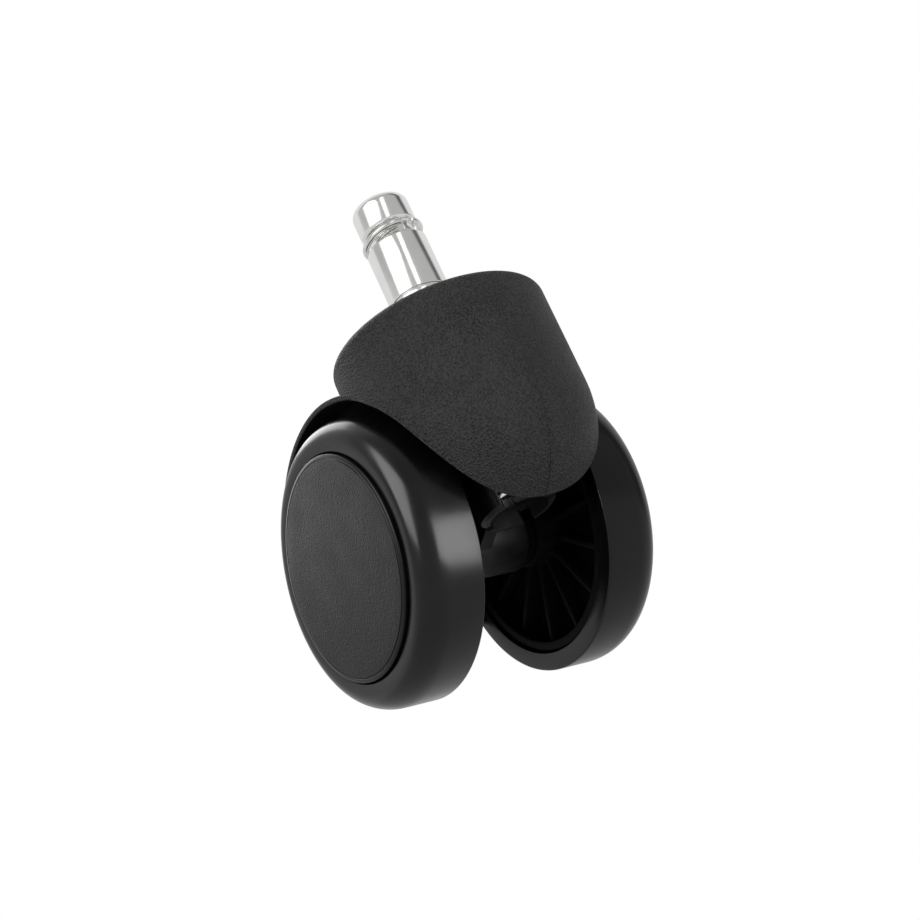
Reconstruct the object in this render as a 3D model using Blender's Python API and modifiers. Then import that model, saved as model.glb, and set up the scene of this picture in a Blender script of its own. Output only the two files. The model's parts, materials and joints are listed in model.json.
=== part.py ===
"""Hooded twin-wheel chair caster with a grip-ring stem.

Frame: metres, +Z up along the stem, +X towards the nose of the hood, +Y to the
left wheel.  The origin is on the stem's axis, level with the shoulder that the
chair base rests on.  The axle trails behind the stem, towards -X.
"""
import math

import bmesh
import bpy
from mathutils import Matrix

MM = 0.001

# ---------------------------------------------------------------- sizes
# overall
WHEEL_RADIUS = 25.0 * MM
TRAIL = 18.7 * MM            # axle behind the stem's axis
SHOULDER_HEIGHT = 37.2 * MM  # stem's shoulder above the axle

# clearances
GAP = 0.3 * MM               # between pieces that touch or are pressed together
RUN = 0.3 * MM               # between pieces that turn on each other

# stem
STEM_RADIUS = 5.5 * MM
STEM_LENGTH = 22.0 * MM      # above the shoulder
STEM_CHAMFER = 0.5 * MM
HEAD_RADIUS = 5.2 * MM
HEAD_DOME = 1.8 * MM
HEAD_LENGTH = 6.2 * MM       # tip to ring groove
GROOVE_WIDTH = 2.6 * MM
GROOVE_DEPTH = 1.5 * MM
RING_WIRE_RADIUS = 0.6 * MM
RING_RADIUS = 5.25 * MM      # at the wire's centre
RING_GAP_ANGLE = math.radians(24.0)
COLLAR_RADIUS = 6.8 * MM
COLLAR_LENGTH = 1.8 * MM
COLLAR_CHAMFER = 0.2 * MM
FLANGE_RADIUS = 7.4 * MM
FLANGE_THICKNESS = 1.2 * MM
JOURNAL_RADIUS = 4.0 * MM
JOURNAL_CHAMFER = 0.6 * MM
STEM_END_BELOW_AXLE = 1.6 * MM
CLIP_GROOVE_DEPTH = 0.8 * MM
CLIP_THICKNESS = 1.0 * MM
CLIP_RADIUS = 5.0 * MM
CLIP_OPENING = 3.4 * MM
CLIP_FROM_END = 1.6 * MM
WASHER_THICKNESS = 0.6 * MM
WASHER_RADIUS = 7.6 * MM

# stem socket
BUSH_WALL = 0.7 * MM
BUSH_FLANGE_RADIUS = 6.8 * MM
BUSH_FLANGE_THICKNESS = 0.9 * MM
BOSS_TOP_RADIUS = 8.6 * MM
BOSS_END_RADIUS = 6.6 * MM
BOSS_END_BELOW_AXLE = 4.4 * MM
BOSS_SLOT_WIDTH = 2.0 * MM
BOSS_SLOT_DEPTH = 2.6 * MM

# hood
HOOD_RADIUS = 19.6 * MM
HOOD_TOP = 31.9 * MM         # above the axle
HOOD_RIM_FILLET = 1.8 * MM
HOOD_WALL = 2.2 * MM
DISH_DEPTH = 2.4 * MM
DISH_LIP = 2.6 * MM          # hood's side to the edge of the dish
DISH_DRAFT = 0.6             # run of the dish's sloped side as a share of its depth
DISH_ROUND = 0.9             # share of the lip's flat that the inner chamfer takes
NOSE_ROUND_START = 12.0 * MM  # above the axle, where the side starts to turn in
NOSE_ROUND_DEPTH = 18.6 * MM
NOSE_ROUND_WIDTH = 15.4 * MM
ARCH_GAP = 2.8 * MM          # wheel tread to the inside of the hood
FENDER_THICKNESS = 1.0 * MM
FENDER_HALF_WIDTH = 19.8 * MM
FENDER_START = math.radians(38.0)
FENDER_END = math.radians(190.0)
WEB_THICKNESS = 2.6 * MM
WEB_START = math.radians(-8.0)
WEB_END = math.radians(150.0)
WEB_ROOT = 0.9               # where the web enters the barrel, as a share of its radius
WEB_ABOVE_SLOTS = 0.4 * MM
BARREL_RADIUS = 6.5 * MM
BARREL_HALF_LENGTH = 9.2 * MM

# axle
AXLE_RADIUS = 3.0 * MM
AXLE_CHAMFER = 0.5 * MM
AXLE_PROUD = 0.8 * MM        # beyond the push nut
THRUST_WASHER_RADIUS = 5.6 * MM
THRUST_WASHER_THICKNESS = 0.6 * MM
NUT_RADIUS = 6.0 * MM
NUT_THICKNESS = 0.5 * MM
NUT_CROWN = 0.9 * MM
NUT_KNEE = 0.45              # where the crown meets the flat, as a share of bore to rim
NUT_SLIT_WIDTH = 0.6 * MM
NUT_TOOTH_COUNT = 6

# wheels
TREAD_INNER = 12.6 * MM      # inner face of the tyre from the middle plane
TREAD_OUTER = 19.1 * MM      # where the shoulder starts to turn in
SHOULDER_WIDTH = 4.9 * MM
SHOULDER_DROP = 3.6 * MM
TREAD_EDGE = 0.2 * MM
TYRE_THICKNESS = 3.2 * MM
TYRE_LIP_THICKNESS = 1.4 * MM
HUB_RADIUS = 6.2 * MM
HUB_BUSH_WALL = 1.0 * MM
HUB_BUSH_FLANGE = 0.8 * MM
HUB_BUSH_FLANGE_RADIUS = 5.4 * MM
WEB_DISC_THICKNESS = 1.8 * MM
WEB_DISC_INNER = 17.6 * MM   # inboard face of the core's disc
RIM_WALL = 1.6 * MM
SPOKE_COUNT = 14
SPOKE_PHASE = 0.5            # share of a pitch by which the ribs are turned at rest
SPOKE_THICKNESS = 1.0 * MM
SPOKE_SETBACK = 2.0 * MM     # from the tyre's inner face
CAP_RADIUS = 19.5 * MM
CAP_EDGE = 24.5 * MM         # rim of the cap from the middle plane
CAP_CROWN = 0.5 * MM
CAP_BORDER = 0.9 * MM        # smooth sloped edge round the textured face
CAP_BORDER_RISE = 0.25 * MM
CAP_THICKNESS = 1.8 * MM
CAP_SKIRT_WALL = 1.2 * MM
CAP_SKIRT_LENGTH = 2.4 * MM
LEDGE_INSET = 0.6 * MM       # cap's edge to the lip of the ledge it rests on
LEDGE_THICKNESS = 1.2 * MM

# facets and edges
FINE = 48
MEDIUM = 32
COARSE = 24
SHARP_ANGLE = math.radians(35.0)
WELD = 0.001 * MM

# ---------------------------------------------------------------- worked out
AXLE_Z = -SHOULDER_HEIGHT
ARCH_RADIUS = WHEEL_RADIUS + ARCH_GAP
FENDER_RADIUS = ARCH_RADIUS + FENDER_THICKNESS
FLANGE_BOTTOM = -COLLAR_LENGTH - FLANGE_THICKNESS
WASHER_TOP = FLANGE_BOTTOM - GAP
BUSH_TOP = WASHER_TOP - WASHER_THICKNESS - GAP
BOSS_TOP = BUSH_TOP - BUSH_FLANGE_THICKNESS - GAP
BUSH_BORE = JOURNAL_RADIUS + RUN
BUSH_RADIUS = BUSH_BORE + BUSH_WALL
BOSS_BORE = BUSH_RADIUS + GAP
STEM_END = AXLE_Z - STEM_END_BELOW_AXLE
CLIP_BOTTOM = STEM_END + CLIP_FROM_END
CLIP_TOP = CLIP_BOTTOM + CLIP_THICKNESS
BUSH_END = CLIP_TOP + RUN
BOSS_END = AXLE_Z - BOSS_END_BELOW_AXLE
GROOVE_TOP = STEM_LENGTH - HEAD_LENGTH
GROOVE_BOTTOM = GROOVE_TOP - GROOVE_WIDTH
HUB_INNER = BARREL_HALF_LENGTH + GAP + THRUST_WASHER_THICKNESS + RUN
WEB_DISC_OUTER = WEB_DISC_INNER + WEB_DISC_THICKNESS
NUT_INNER = WEB_DISC_OUTER + RUN
AXLE_HALF_LENGTH = NUT_INNER + NUT_CROWN + NUT_THICKNESS + AXLE_PROUD
RIM_RADIUS = WHEEL_RADIUS - TYRE_THICKNESS - GAP
TYRE_LIP_RADIUS = CAP_RADIUS + GAP
LEDGE_RADIUS = CAP_RADIUS - LEDGE_INSET
CAP_SKIRT_RADIUS = LEDGE_RADIUS - GAP
TYRE_LIP_START = TREAD_OUTER + SHOULDER_WIDTH
RIM_TOP = TYRE_LIP_START - TYRE_LIP_THICKNESS - GAP
HUB_BUSH_RADIUS = AXLE_RADIUS + RUN + HUB_BUSH_WALL


# ---------------------------------------------------------------- helpers
def clear_scene():
    """Remove every object that the new file starts with."""
    for obj in list(bpy.data.objects):
        bpy.data.objects.remove(obj, do_unlink=True)


def make_collection(name):
    """Make a collection and link it to the scene."""
    collection = bpy.data.collections.new(name)
    bpy.context.scene.collection.children.link(collection)
    return collection


def principled(name, color, roughness, metallic):
    """Make a plain Principled material."""
    mat = bpy.data.materials.new(name)
    mat.use_nodes = True
    shader = mat.node_tree.nodes["Principled BSDF"]
    shader.inputs["Base Color"].default_value = (*color, 1.0)
    shader.inputs["Roughness"].default_value = roughness
    shader.inputs["Metallic"].default_value = metallic
    mat.diffuse_color = (*color, 1.0)
    return mat


def new_object(name, mesh, collection, mat=None, parent=None, matrix=None):
    """Link a mesh object, give it a material, a place and a parent."""
    obj = bpy.data.objects.new(name, mesh)
    collection.objects.link(obj)
    if mat is not None:
        mesh.materials.append(mat)
    if parent is not None:
        obj.parent = parent
    if matrix is not None:
        obj.matrix_local = matrix
    return obj


def make_empty(name, location, parent=None):
    """Make an empty on a joint's axis."""
    empty = bpy.data.objects.new(name, None)
    empty.empty_display_size = 0.01
    empty.location = location
    PARTS.objects.link(empty)
    if parent is not None:
        empty.parent = parent
    return empty


def as_cutter(obj):
    """Keep a guide shape out of the model."""
    obj.hide_render = True
    obj.display_type = "WIRE"
    return obj


def profile_mesh(name, points, closed):
    """Make an edge chain in the XZ plane from (radius, height) points."""
    mesh = bpy.data.meshes.new(name)
    verts = [(r, 0.0, z) for r, z in points]
    edges = [(i, i + 1) for i in range(len(verts) - 1)]
    if closed:
        edges.append((len(verts) - 1, 0))
    mesh.from_pydata(verts, edges, [])
    return mesh


def turned(name, points, steps, collection, mat=None, parent=None, matrix=None, closed=False):
    """Turn a profile about the object's own Z axis.

    An open profile starts and ends on the axis; a closed one is a ring.  Both
    run down their outer side from top to bottom.
    """
    obj = new_object(name, profile_mesh(name, points, closed), collection, mat, parent, matrix)
    screw = obj.modifiers.new("turn", "SCREW")
    screw.axis = "Z"
    screw.angle = math.tau
    screw.steps = steps
    screw.render_steps = steps
    screw.use_merge_vertices = True
    screw.merge_threshold = WELD
    screw.use_smooth_shade = True
    return obj


def extruded(name, outline, half_thickness, collection, mat=None, parent=None, matrix=None):
    """Extrude a closed XY outline both ways along Z with a filled 2D curve."""
    curve = bpy.data.curves.new(name, "CURVE")
    curve.dimensions = "2D"
    curve.fill_mode = "BOTH"
    curve.extrude = half_thickness
    spline = curve.splines.new("POLY")
    spline.points.add(len(outline) - 1)
    for point, (x, y) in zip(spline.points, outline):
        point.co = (x, y, 0.0, 1.0)
    spline.use_cyclic_u = True
    source = bpy.data.objects.new(name + "_curve", curve)
    collection.objects.link(source)
    bpy.context.view_layer.update()
    graph = bpy.context.evaluated_depsgraph_get()
    mesh = bpy.data.meshes.new_from_object(source.evaluated_get(graph))
    weld(mesh)
    bpy.data.objects.remove(source, do_unlink=True)
    mesh.name = name
    return new_object(name, mesh, collection, mat, parent, matrix)


def weld(mesh):
    """Merge the loose caps of a converted curve and face it outwards."""
    bm = bmesh.new()
    bm.from_mesh(mesh)
    bmesh.ops.remove_doubles(bm, verts=bm.verts, dist=WELD)
    bmesh.ops.recalc_face_normals(bm, faces=bm.faces)
    bm.to_mesh(mesh)
    bm.free()


def box(name, size, collection, parent=None, matrix=None):
    """Make a box centred on its own origin."""
    mesh = bpy.data.meshes.new(name)
    bm = bmesh.new()
    bmesh.ops.create_cube(bm, size=1.0, matrix=Matrix.Diagonal((*size, 1.0)))
    bm.to_mesh(mesh)
    bm.free()
    return new_object(name, mesh, collection, None, parent, matrix)


def boolean(target, operation, tool):
    """Join a shape to the target or cut it away."""
    modifier = target.modifiers.new(tool.name, "BOOLEAN")
    modifier.operation = operation
    modifier.solver = "EXACT"
    modifier.object = tool
    return modifier


def smooth(obj):
    """Shade the turned faces smooth and keep the real edges sharp."""
    obj.data.shade_smooth()
    obj.data.set_sharp_from_angle(angle=SHARP_ANGLE)


def arc(centre, radii, start, end, count):
    """Points of an elliptic arc from start to end, both included."""
    points = []
    for i in range(count + 1):
        angle = start + (end - start) * i / count
        points.append((centre[0] + radii[0] * math.cos(angle), centre[1] + radii[1] * math.sin(angle)))
    return points


def tube(radius, bore, top, bottom, chamfer=0.0):
    """Closed profile of a plain sleeve, with its outer edges chamfered."""
    if chamfer == 0.0:
        outer = [(radius, top), (radius, bottom)]
    else:
        outer = [
            (radius - chamfer, top),
            (radius, top - chamfer),
            (radius, bottom + chamfer),
            (radius - chamfer, bottom),
        ]
    return [(bore, top)] + outer + [(bore, bottom)]


def side_matrix(side):
    """Turn an own +Z axis to +Y for the left side or to -Y for the right one."""
    return Matrix.Rotation(-side * math.pi / 2.0, 4, "X")


# Y is the axle's direction, so an outline drawn in XY is stood up into XZ.
STAND = Matrix.Rotation(math.pi / 2.0, 4, "X")
ON_AXLE = Matrix.Translation((-TRAIL, 0.0, AXLE_Z)) @ STAND


# ---------------------------------------------------------------- stem
def build_stem(mat, parent):
    """Plated steel stem: domed head, ring groove, body, and journal with clip groove."""
    ring_floor = STEM_RADIUS - GROOVE_DEPTH
    dome_start = STEM_LENGTH - HEAD_DOME
    clip_floor = JOURNAL_RADIUS - CLIP_GROOVE_DEPTH
    dome = arc(
        (HEAD_RADIUS - HEAD_DOME, dome_start), (HEAD_DOME, HEAD_DOME), math.pi / 2.0, 0.0, 6
    )
    points = [(0.0, STEM_LENGTH)] + dome
    points += [
        (HEAD_RADIUS, GROOVE_TOP + STEM_CHAMFER),
        (HEAD_RADIUS - STEM_CHAMFER, GROOVE_TOP),
        (ring_floor, GROOVE_TOP),
        (ring_floor, GROOVE_BOTTOM),
        (STEM_RADIUS - STEM_CHAMFER, GROOVE_BOTTOM),
        (STEM_RADIUS, GROOVE_BOTTOM - STEM_CHAMFER),
        (STEM_RADIUS, -COLLAR_LENGTH),
        (FLANGE_RADIUS, -COLLAR_LENGTH),
        (FLANGE_RADIUS, FLANGE_BOTTOM),
        (JOURNAL_RADIUS, FLANGE_BOTTOM),
        (JOURNAL_RADIUS, CLIP_TOP + GAP),
        (clip_floor, CLIP_TOP + GAP),
        (clip_floor, CLIP_BOTTOM - GAP),
        (JOURNAL_RADIUS, CLIP_BOTTOM - GAP),
        (JOURNAL_RADIUS, STEM_END + JOURNAL_CHAMFER),
        (JOURNAL_RADIUS - JOURNAL_CHAMFER, STEM_END),
        (0.0, STEM_END),
    ]
    return turned("stem", points, MEDIUM, PARTS, mat, parent)


def build_collar(mat, parent):
    """Ring pressed on the stem above its flange; its top face is the shoulder."""
    bore = STEM_RADIUS + GAP
    points = tube(COLLAR_RADIUS, bore, 0.0, -COLLAR_LENGTH + GAP, chamfer=COLLAR_CHAMFER)
    return turned("stem_collar", points, MEDIUM, PARTS, mat, parent, closed=True)


def build_grip_ring(mat, parent):
    """Split spring ring of round wire, loose in the stem's groove."""
    curve = bpy.data.curves.new("grip_ring", "CURVE")
    curve.dimensions = "3D"
    curve.bevel_depth = RING_WIRE_RADIUS
    curve.bevel_resolution = 2
    curve.use_fill_caps = True
    spline = curve.splines.new("POLY")
    half_gap = RING_GAP_ANGLE / 2.0
    path = arc((0.0, 0.0), (RING_RADIUS, RING_RADIUS), half_gap, math.tau - half_gap, COARSE)
    spline.points.add(len(path) - 1)
    for point, (x, y) in zip(spline.points, path):
        point.co = (x, y, 0.0, 1.0)
    curve.materials.append(mat)
    obj = bpy.data.objects.new("grip_ring", curve)
    obj.location.z = (GROOVE_TOP + GROOVE_BOTTOM) / 2.0
    obj.parent = parent
    PARTS.objects.link(obj)
    return obj


def build_clip(mat, parent):
    """Flat retaining ring in the groove at the foot of the stem."""
    bore = JOURNAL_RADIUS - CLIP_GROOVE_DEPTH + GAP
    outer_open = math.asin(CLIP_OPENING / 2.0 / CLIP_RADIUS)
    inner_open = math.asin(CLIP_OPENING / 2.0 / bore)
    outline = arc((0.0, 0.0), (CLIP_RADIUS, CLIP_RADIUS), outer_open, math.tau - outer_open, COARSE)
    outline += arc((0.0, 0.0), (bore, bore), math.tau - inner_open, inner_open, COARSE)
    place = Matrix.Translation((0.0, 0.0, (CLIP_TOP + CLIP_BOTTOM) / 2.0))
    return extruded("stem_clip", outline, CLIP_THICKNESS / 2.0, PARTS, mat, parent, place)


def build_stem_washer(mat, parent):
    """Thrust washer between the stem's flange and the socket bush."""
    points = tube(WASHER_RADIUS, BUSH_BORE, WASHER_TOP, WASHER_TOP - WASHER_THICKNESS)
    return turned("stem_washer", points, MEDIUM, PARTS, mat, parent, closed=True)


def build_socket_bush(mat, parent):
    """Flanged sleeve that lines the socket and turns on the stem's journal."""
    flange_bottom = BUSH_TOP - BUSH_FLANGE_THICKNESS
    points = [
        (BUSH_BORE, BUSH_TOP),
        (BUSH_FLANGE_RADIUS, BUSH_TOP),
        (BUSH_FLANGE_RADIUS, flange_bottom),
        (BUSH_RADIUS, flange_bottom),
        (BUSH_RADIUS, BUSH_END),
        (BUSH_BORE, BUSH_END),
    ]
    return turned("socket_bush", points, MEDIUM, PARTS, mat, parent, closed=True)


# ---------------------------------------------------------------- housing
def hood_outer():
    """Outer profile of the hood: dished top, rounded rim, straight side, round nose."""
    top = AXLE_Z + HOOD_TOP
    start = AXLE_Z + NOSE_ROUND_START
    dish_radius = HOOD_RADIUS - DISH_LIP
    fillet = HOOD_RIM_FILLET
    inner_fillet = (DISH_LIP - fillet) * DISH_ROUND
    points = [(0.0, top - DISH_DEPTH), (dish_radius - DISH_DEPTH * DISH_DRAFT, top - DISH_DEPTH)]
    points += [(dish_radius, top - inner_fillet), (dish_radius + inner_fillet, top)]
    points += arc((HOOD_RADIUS - fillet, top - fillet), (fillet, fillet), math.pi / 2.0, 0.0, 5)
    centre = (HOOD_RADIUS - NOSE_ROUND_WIDTH, start)
    points += arc(centre, (NOSE_ROUND_WIDTH, NOSE_ROUND_DEPTH), 0.0, -math.pi / 2.0, 12)
    points.append((0.0, start - NOSE_ROUND_DEPTH))
    return points


def hood_inner():
    """Profile of the hollow inside the hood, one wall in from the outer one."""
    start = AXLE_Z + NOSE_ROUND_START
    ceiling = AXLE_Z + HOOD_TOP - DISH_DEPTH - HOOD_WALL
    radii = (NOSE_ROUND_WIDTH - HOOD_WALL, NOSE_ROUND_DEPTH - HOOD_WALL)
    points = [(0.0, ceiling), (HOOD_RADIUS - HOOD_WALL, ceiling)]
    centre = (HOOD_RADIUS - NOSE_ROUND_WIDTH, start)
    points += arc(centre, radii, 0.0, -math.pi / 2.0, 8)
    points.append((0.0, start - radii[1]))
    return points


def build_hollow(parent):
    """Cutter for the hood's inside, parted by the web on the middle plane."""
    hollow = turned("hood_hollow", hood_inner(), FINE, TOOLS, parent=parent)
    reach = HOOD_RADIUS * 3.0
    slab = as_cutter(box("web_slab", (reach, WEB_THICKNESS, reach * 2.0), TOOLS, parent))
    boolean(hollow, "DIFFERENCE", slab)
    return as_cutter(hollow)


def build_fender(parent):
    """Band that carries on from the hood over the top and down behind the wheels."""
    outline = arc((0.0, 0.0), (FENDER_RADIUS, FENDER_RADIUS), FENDER_START, FENDER_END, FINE // 2)
    outline += arc((0.0, 0.0), (ARCH_RADIUS, ARCH_RADIUS), FENDER_END, FENDER_START, FINE // 2)
    band = extruded("fender", outline, FENDER_HALF_WIDTH, TOOLS, None, parent, ON_AXLE)
    return as_cutter(band)


def build_web(parent):
    """Plate on the middle plane that ties barrel, socket boss, nose and fender."""
    radius = ARCH_RADIUS + FENDER_THICKNESS / 2.0
    root = BARREL_RADIUS * WEB_ROOT
    boss_low = -BOSS_END_BELOW_AXLE + BOSS_SLOT_DEPTH + WEB_ABOVE_SLOTS
    outline = arc((0.0, 0.0), (radius, radius), WEB_START, WEB_END, FINE // 3)
    outline += [
        (-root, 0.0),
        (0.0, -root),
        (TRAIL - BOSS_END_RADIUS, boss_low),
        (TRAIL + BOSS_END_RADIUS, boss_low),
    ]
    plate = extruded("carrier_web", outline, WEB_THICKNESS / 2.0, TOOLS, None, parent, ON_AXLE)
    return as_cutter(plate)


def build_housing(mat, parent):
    """One moulding: hood, fender, web, socket boss and the barrel that holds the axle."""
    housing = turned("housing", hood_outer(), FINE, PARTS, mat, parent)
    reach = HOOD_RADIUS * 2.0
    arch_points = [(0.0, reach), (ARCH_RADIUS, reach), (ARCH_RADIUS, -reach), (0.0, -reach)]
    arch = turned("wheel_arch", arch_points, FINE * 2, TOOLS, None, parent, ON_AXLE)
    boss_points = [
        (0.0, BOSS_TOP),
        (BOSS_TOP_RADIUS, BOSS_TOP),
        (BOSS_END_RADIUS, BOSS_END),
        (0.0, BOSS_END),
    ]
    boss = turned("socket_boss", boss_points, MEDIUM, TOOLS, None, parent)
    half = BARREL_HALF_LENGTH
    barrel_points = [(0.0, half), (BARREL_RADIUS, half), (BARREL_RADIUS, -half), (0.0, -half)]
    barrel = turned("axle_barrel", barrel_points, MEDIUM, TOOLS, None, parent, ON_AXLE)
    bore_points = [(0.0, 0.0), (BOSS_BORE, 0.0), (BOSS_BORE, -reach * 2.0), (0.0, -reach * 2.0)]
    socket_bore = turned("socket_bore", bore_points, MEDIUM, TOOLS, None, parent)
    axle_bore_radius = AXLE_RADIUS + GAP
    hole = [(0.0, reach), (axle_bore_radius, reach), (axle_bore_radius, -reach), (0.0, -reach)]
    axle_bore = turned("axle_bore", hole, COARSE, TOOLS, None, parent, ON_AXLE)
    slot_size = (BOSS_TOP_RADIUS * 2.0, BOSS_SLOT_WIDTH, BOSS_SLOT_DEPTH * 2.0)
    boolean(housing, "DIFFERENCE", build_hollow(parent))
    boolean(housing, "DIFFERENCE", as_cutter(arch))
    for piece in (build_fender(parent), build_web(parent), boss, barrel):
        boolean(housing, "UNION", as_cutter(piece))
    boolean(housing, "DIFFERENCE", as_cutter(socket_bore))
    boolean(housing, "DIFFERENCE", as_cutter(axle_bore))
    for i in range(2):
        turn = Matrix.Rotation(math.pi * (i + 0.5) / 2.0, 4, "Z")
        place = Matrix.Translation((0.0, 0.0, BOSS_END)) @ turn
        slot = box("boss_slot_%d" % i, slot_size, TOOLS, parent, place)
        boolean(housing, "DIFFERENCE", as_cutter(slot))
    return housing


# ---------------------------------------------------------------- axle
def build_axle(mat, parent):
    """Steel pin pressed through the barrel, with a wheel on each end."""
    half = AXLE_HALF_LENGTH
    points = [
        (0.0, half),
        (AXLE_RADIUS - AXLE_CHAMFER, half),
        (AXLE_RADIUS, half - AXLE_CHAMFER),
        (AXLE_RADIUS, -half + AXLE_CHAMFER),
        (AXLE_RADIUS - AXLE_CHAMFER, -half),
        (0.0, -half),
    ]
    return turned("axle", points, COARSE, PARTS, mat, parent, STAND)


def build_thrust_washer(side_name, side, mat, parent):
    """Washer between the end of the barrel and the wheel's bush."""
    inner = BARREL_HALF_LENGTH + GAP
    points = tube(THRUST_WASHER_RADIUS, AXLE_RADIUS + GAP, inner + THRUST_WASHER_THICKNESS, inner)
    name = "axle_washer_" + side_name
    return turned(name, points, COARSE, PARTS, mat, parent, side_matrix(side), closed=True)


def build_push_nut(side_name, side, mat, parent):
    """Domed spring-steel push nut that keeps the wheel on the axle."""
    bore = AXLE_RADIUS + GAP
    knee = bore + (NUT_RADIUS - bore) * NUT_KNEE
    flat_top = NUT_INNER + NUT_THICKNESS
    points = [
        (bore, flat_top + NUT_CROWN),
        (knee, flat_top),
        (NUT_RADIUS, flat_top),
        (NUT_RADIUS, NUT_INNER),
        (knee, NUT_INNER),
        (bore, NUT_INNER + NUT_CROWN),
    ]
    name = "push_nut_" + side_name
    nut = turned(name, points, COARSE, PARTS, mat, parent, side_matrix(side), closed=True)
    length = knee - bore
    for i in range(NUT_TOOTH_COUNT):
        turn = Matrix.Rotation(math.tau * (i + 0.5) / NUT_TOOTH_COUNT, 4, "Z")
        place = side_matrix(side) @ turn @ Matrix.Translation((bore, 0.0, flat_top))
        size = (length * 2.0, NUT_SLIT_WIDTH, NUT_CROWN * 4.0)
        slit = box("nut_slit_%s_%d" % (side_name, i), size, TOOLS, parent, place)
        boolean(nut, "DIFFERENCE", as_cutter(slit))
    return nut


# ---------------------------------------------------------------- wheels
def build_hub_bush(side_name, side, mat, parent):
    """Flanged sleeve pressed into the wheel's hub; it turns on the axle."""
    bore = AXLE_RADIUS + RUN
    flange_outer = HUB_INNER + HUB_BUSH_FLANGE
    points = [
        (bore, WEB_DISC_OUTER),
        (HUB_BUSH_RADIUS, WEB_DISC_OUTER),
        (HUB_BUSH_RADIUS, flange_outer),
        (HUB_BUSH_FLANGE_RADIUS, flange_outer),
        (HUB_BUSH_FLANGE_RADIUS, HUB_INNER),
        (bore, HUB_INNER),
    ]
    name = "hub_bush_" + side_name
    return turned(name, points, COARSE, PARTS, mat, parent, side_matrix(side), closed=True)


def build_spokes(side_name, side, parent):
    """Ring of radial ribs on the inboard side of the core's disc."""
    mesh = bpy.data.meshes.new("spokes_" + side_name)
    bm = bmesh.new()
    start = HUB_RADIUS - GAP
    end = RIM_RADIUS - RIM_WALL + GAP
    low = TREAD_INNER + SPOKE_SETBACK
    high = WEB_DISC_INNER + GAP
    size = Matrix.Diagonal((end - start, SPOKE_THICKNESS, high - low, 1.0))
    place = Matrix.Translation(((start + end) / 2.0, 0.0, (low + high) / 2.0))
    for i in range(SPOKE_COUNT):
        turn = Matrix.Rotation(math.tau * (i + SPOKE_PHASE) / SPOKE_COUNT, 4, "Z")
        bmesh.ops.create_cube(bm, size=1.0, matrix=turn @ place @ size)
    bm.to_mesh(mesh)
    bm.free()
    ring = new_object("spokes_" + side_name, mesh, TOOLS, None, parent, side_matrix(side))
    return as_cutter(ring)


def build_core(side_name, side, mat, parent):
    """Moulded wheel core: hub, disc, ribs, rim under the tyre and ledge under the cap."""
    bore = HUB_BUSH_RADIUS + GAP
    hub_inner = HUB_INNER + HUB_BUSH_FLANGE + GAP
    rim_inner = RIM_RADIUS - RIM_WALL
    rim_start = TREAD_INNER + GAP * 2.0
    ledge_under = RIM_TOP - LEDGE_THICKNESS
    points = [
        (LEDGE_RADIUS, RIM_TOP),
        (RIM_RADIUS, RIM_TOP),
        (RIM_RADIUS, rim_start),
        (rim_inner, rim_start),
        (rim_inner, WEB_DISC_INNER),
        (HUB_RADIUS, WEB_DISC_INNER),
        (HUB_RADIUS, hub_inner),
        (bore, hub_inner),
        (bore, WEB_DISC_OUTER),
        (rim_inner, WEB_DISC_OUTER),
        (rim_inner, ledge_under),
        (LEDGE_RADIUS, ledge_under),
    ]
    name = "wheel_core_" + side_name
    core = turned(name, points, FINE, PARTS, mat, parent, side_matrix(side), closed=True)
    boolean(core, "UNION", build_spokes(side_name, side, parent))
    return core


def build_tyre(side_name, side, mat, parent):
    """Tyre over the rim: flat tread, sharp inner edge and a big round outer shoulder."""
    bore = RIM_RADIUS + GAP
    centre = (WHEEL_RADIUS - SHOULDER_DROP, TREAD_OUTER)
    points = [(TYRE_LIP_RADIUS, TYRE_LIP_START)]
    points += arc(centre, (SHOULDER_DROP, SHOULDER_WIDTH), math.pi / 2.0, 0.0, 7)
    points += [
        (WHEEL_RADIUS, TREAD_INNER + TREAD_EDGE),
        (WHEEL_RADIUS - TREAD_EDGE, TREAD_INNER),
        (bore, TREAD_INNER),
        (bore, RIM_TOP + GAP),
        (TYRE_LIP_RADIUS, RIM_TOP + GAP),
    ]
    name = "tyre_" + side_name
    return turned(name, points, FINE, PARTS, mat, parent, side_matrix(side), closed=True)


def build_cap(side_name, side, mat, parent):
    """Slightly domed cover disc with a skirt that snaps inside the core."""
    under = CAP_EDGE - CAP_THICKNESS
    skirt_end = under - CAP_SKIRT_LENGTH
    face = CAP_EDGE + CAP_BORDER_RISE
    crown = CAP_CROWN - CAP_BORDER_RISE
    points = [(0.0, face + crown), (CAP_RADIUS / 2.0, face + crown * 3.0 / 4.0)]
    points += [
        (CAP_RADIUS - CAP_BORDER, face),
        (CAP_RADIUS, CAP_EDGE),
        (CAP_RADIUS, under),
        (CAP_SKIRT_RADIUS, under),
        (CAP_SKIRT_RADIUS, skirt_end),
        (CAP_SKIRT_RADIUS - CAP_SKIRT_WALL, skirt_end),
        (CAP_SKIRT_RADIUS - CAP_SKIRT_WALL, under),
        (0.0, under),
    ]
    name = "wheel_cap_" + side_name
    return turned(name, points, FINE, PARTS, mat, parent, side_matrix(side))


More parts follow.
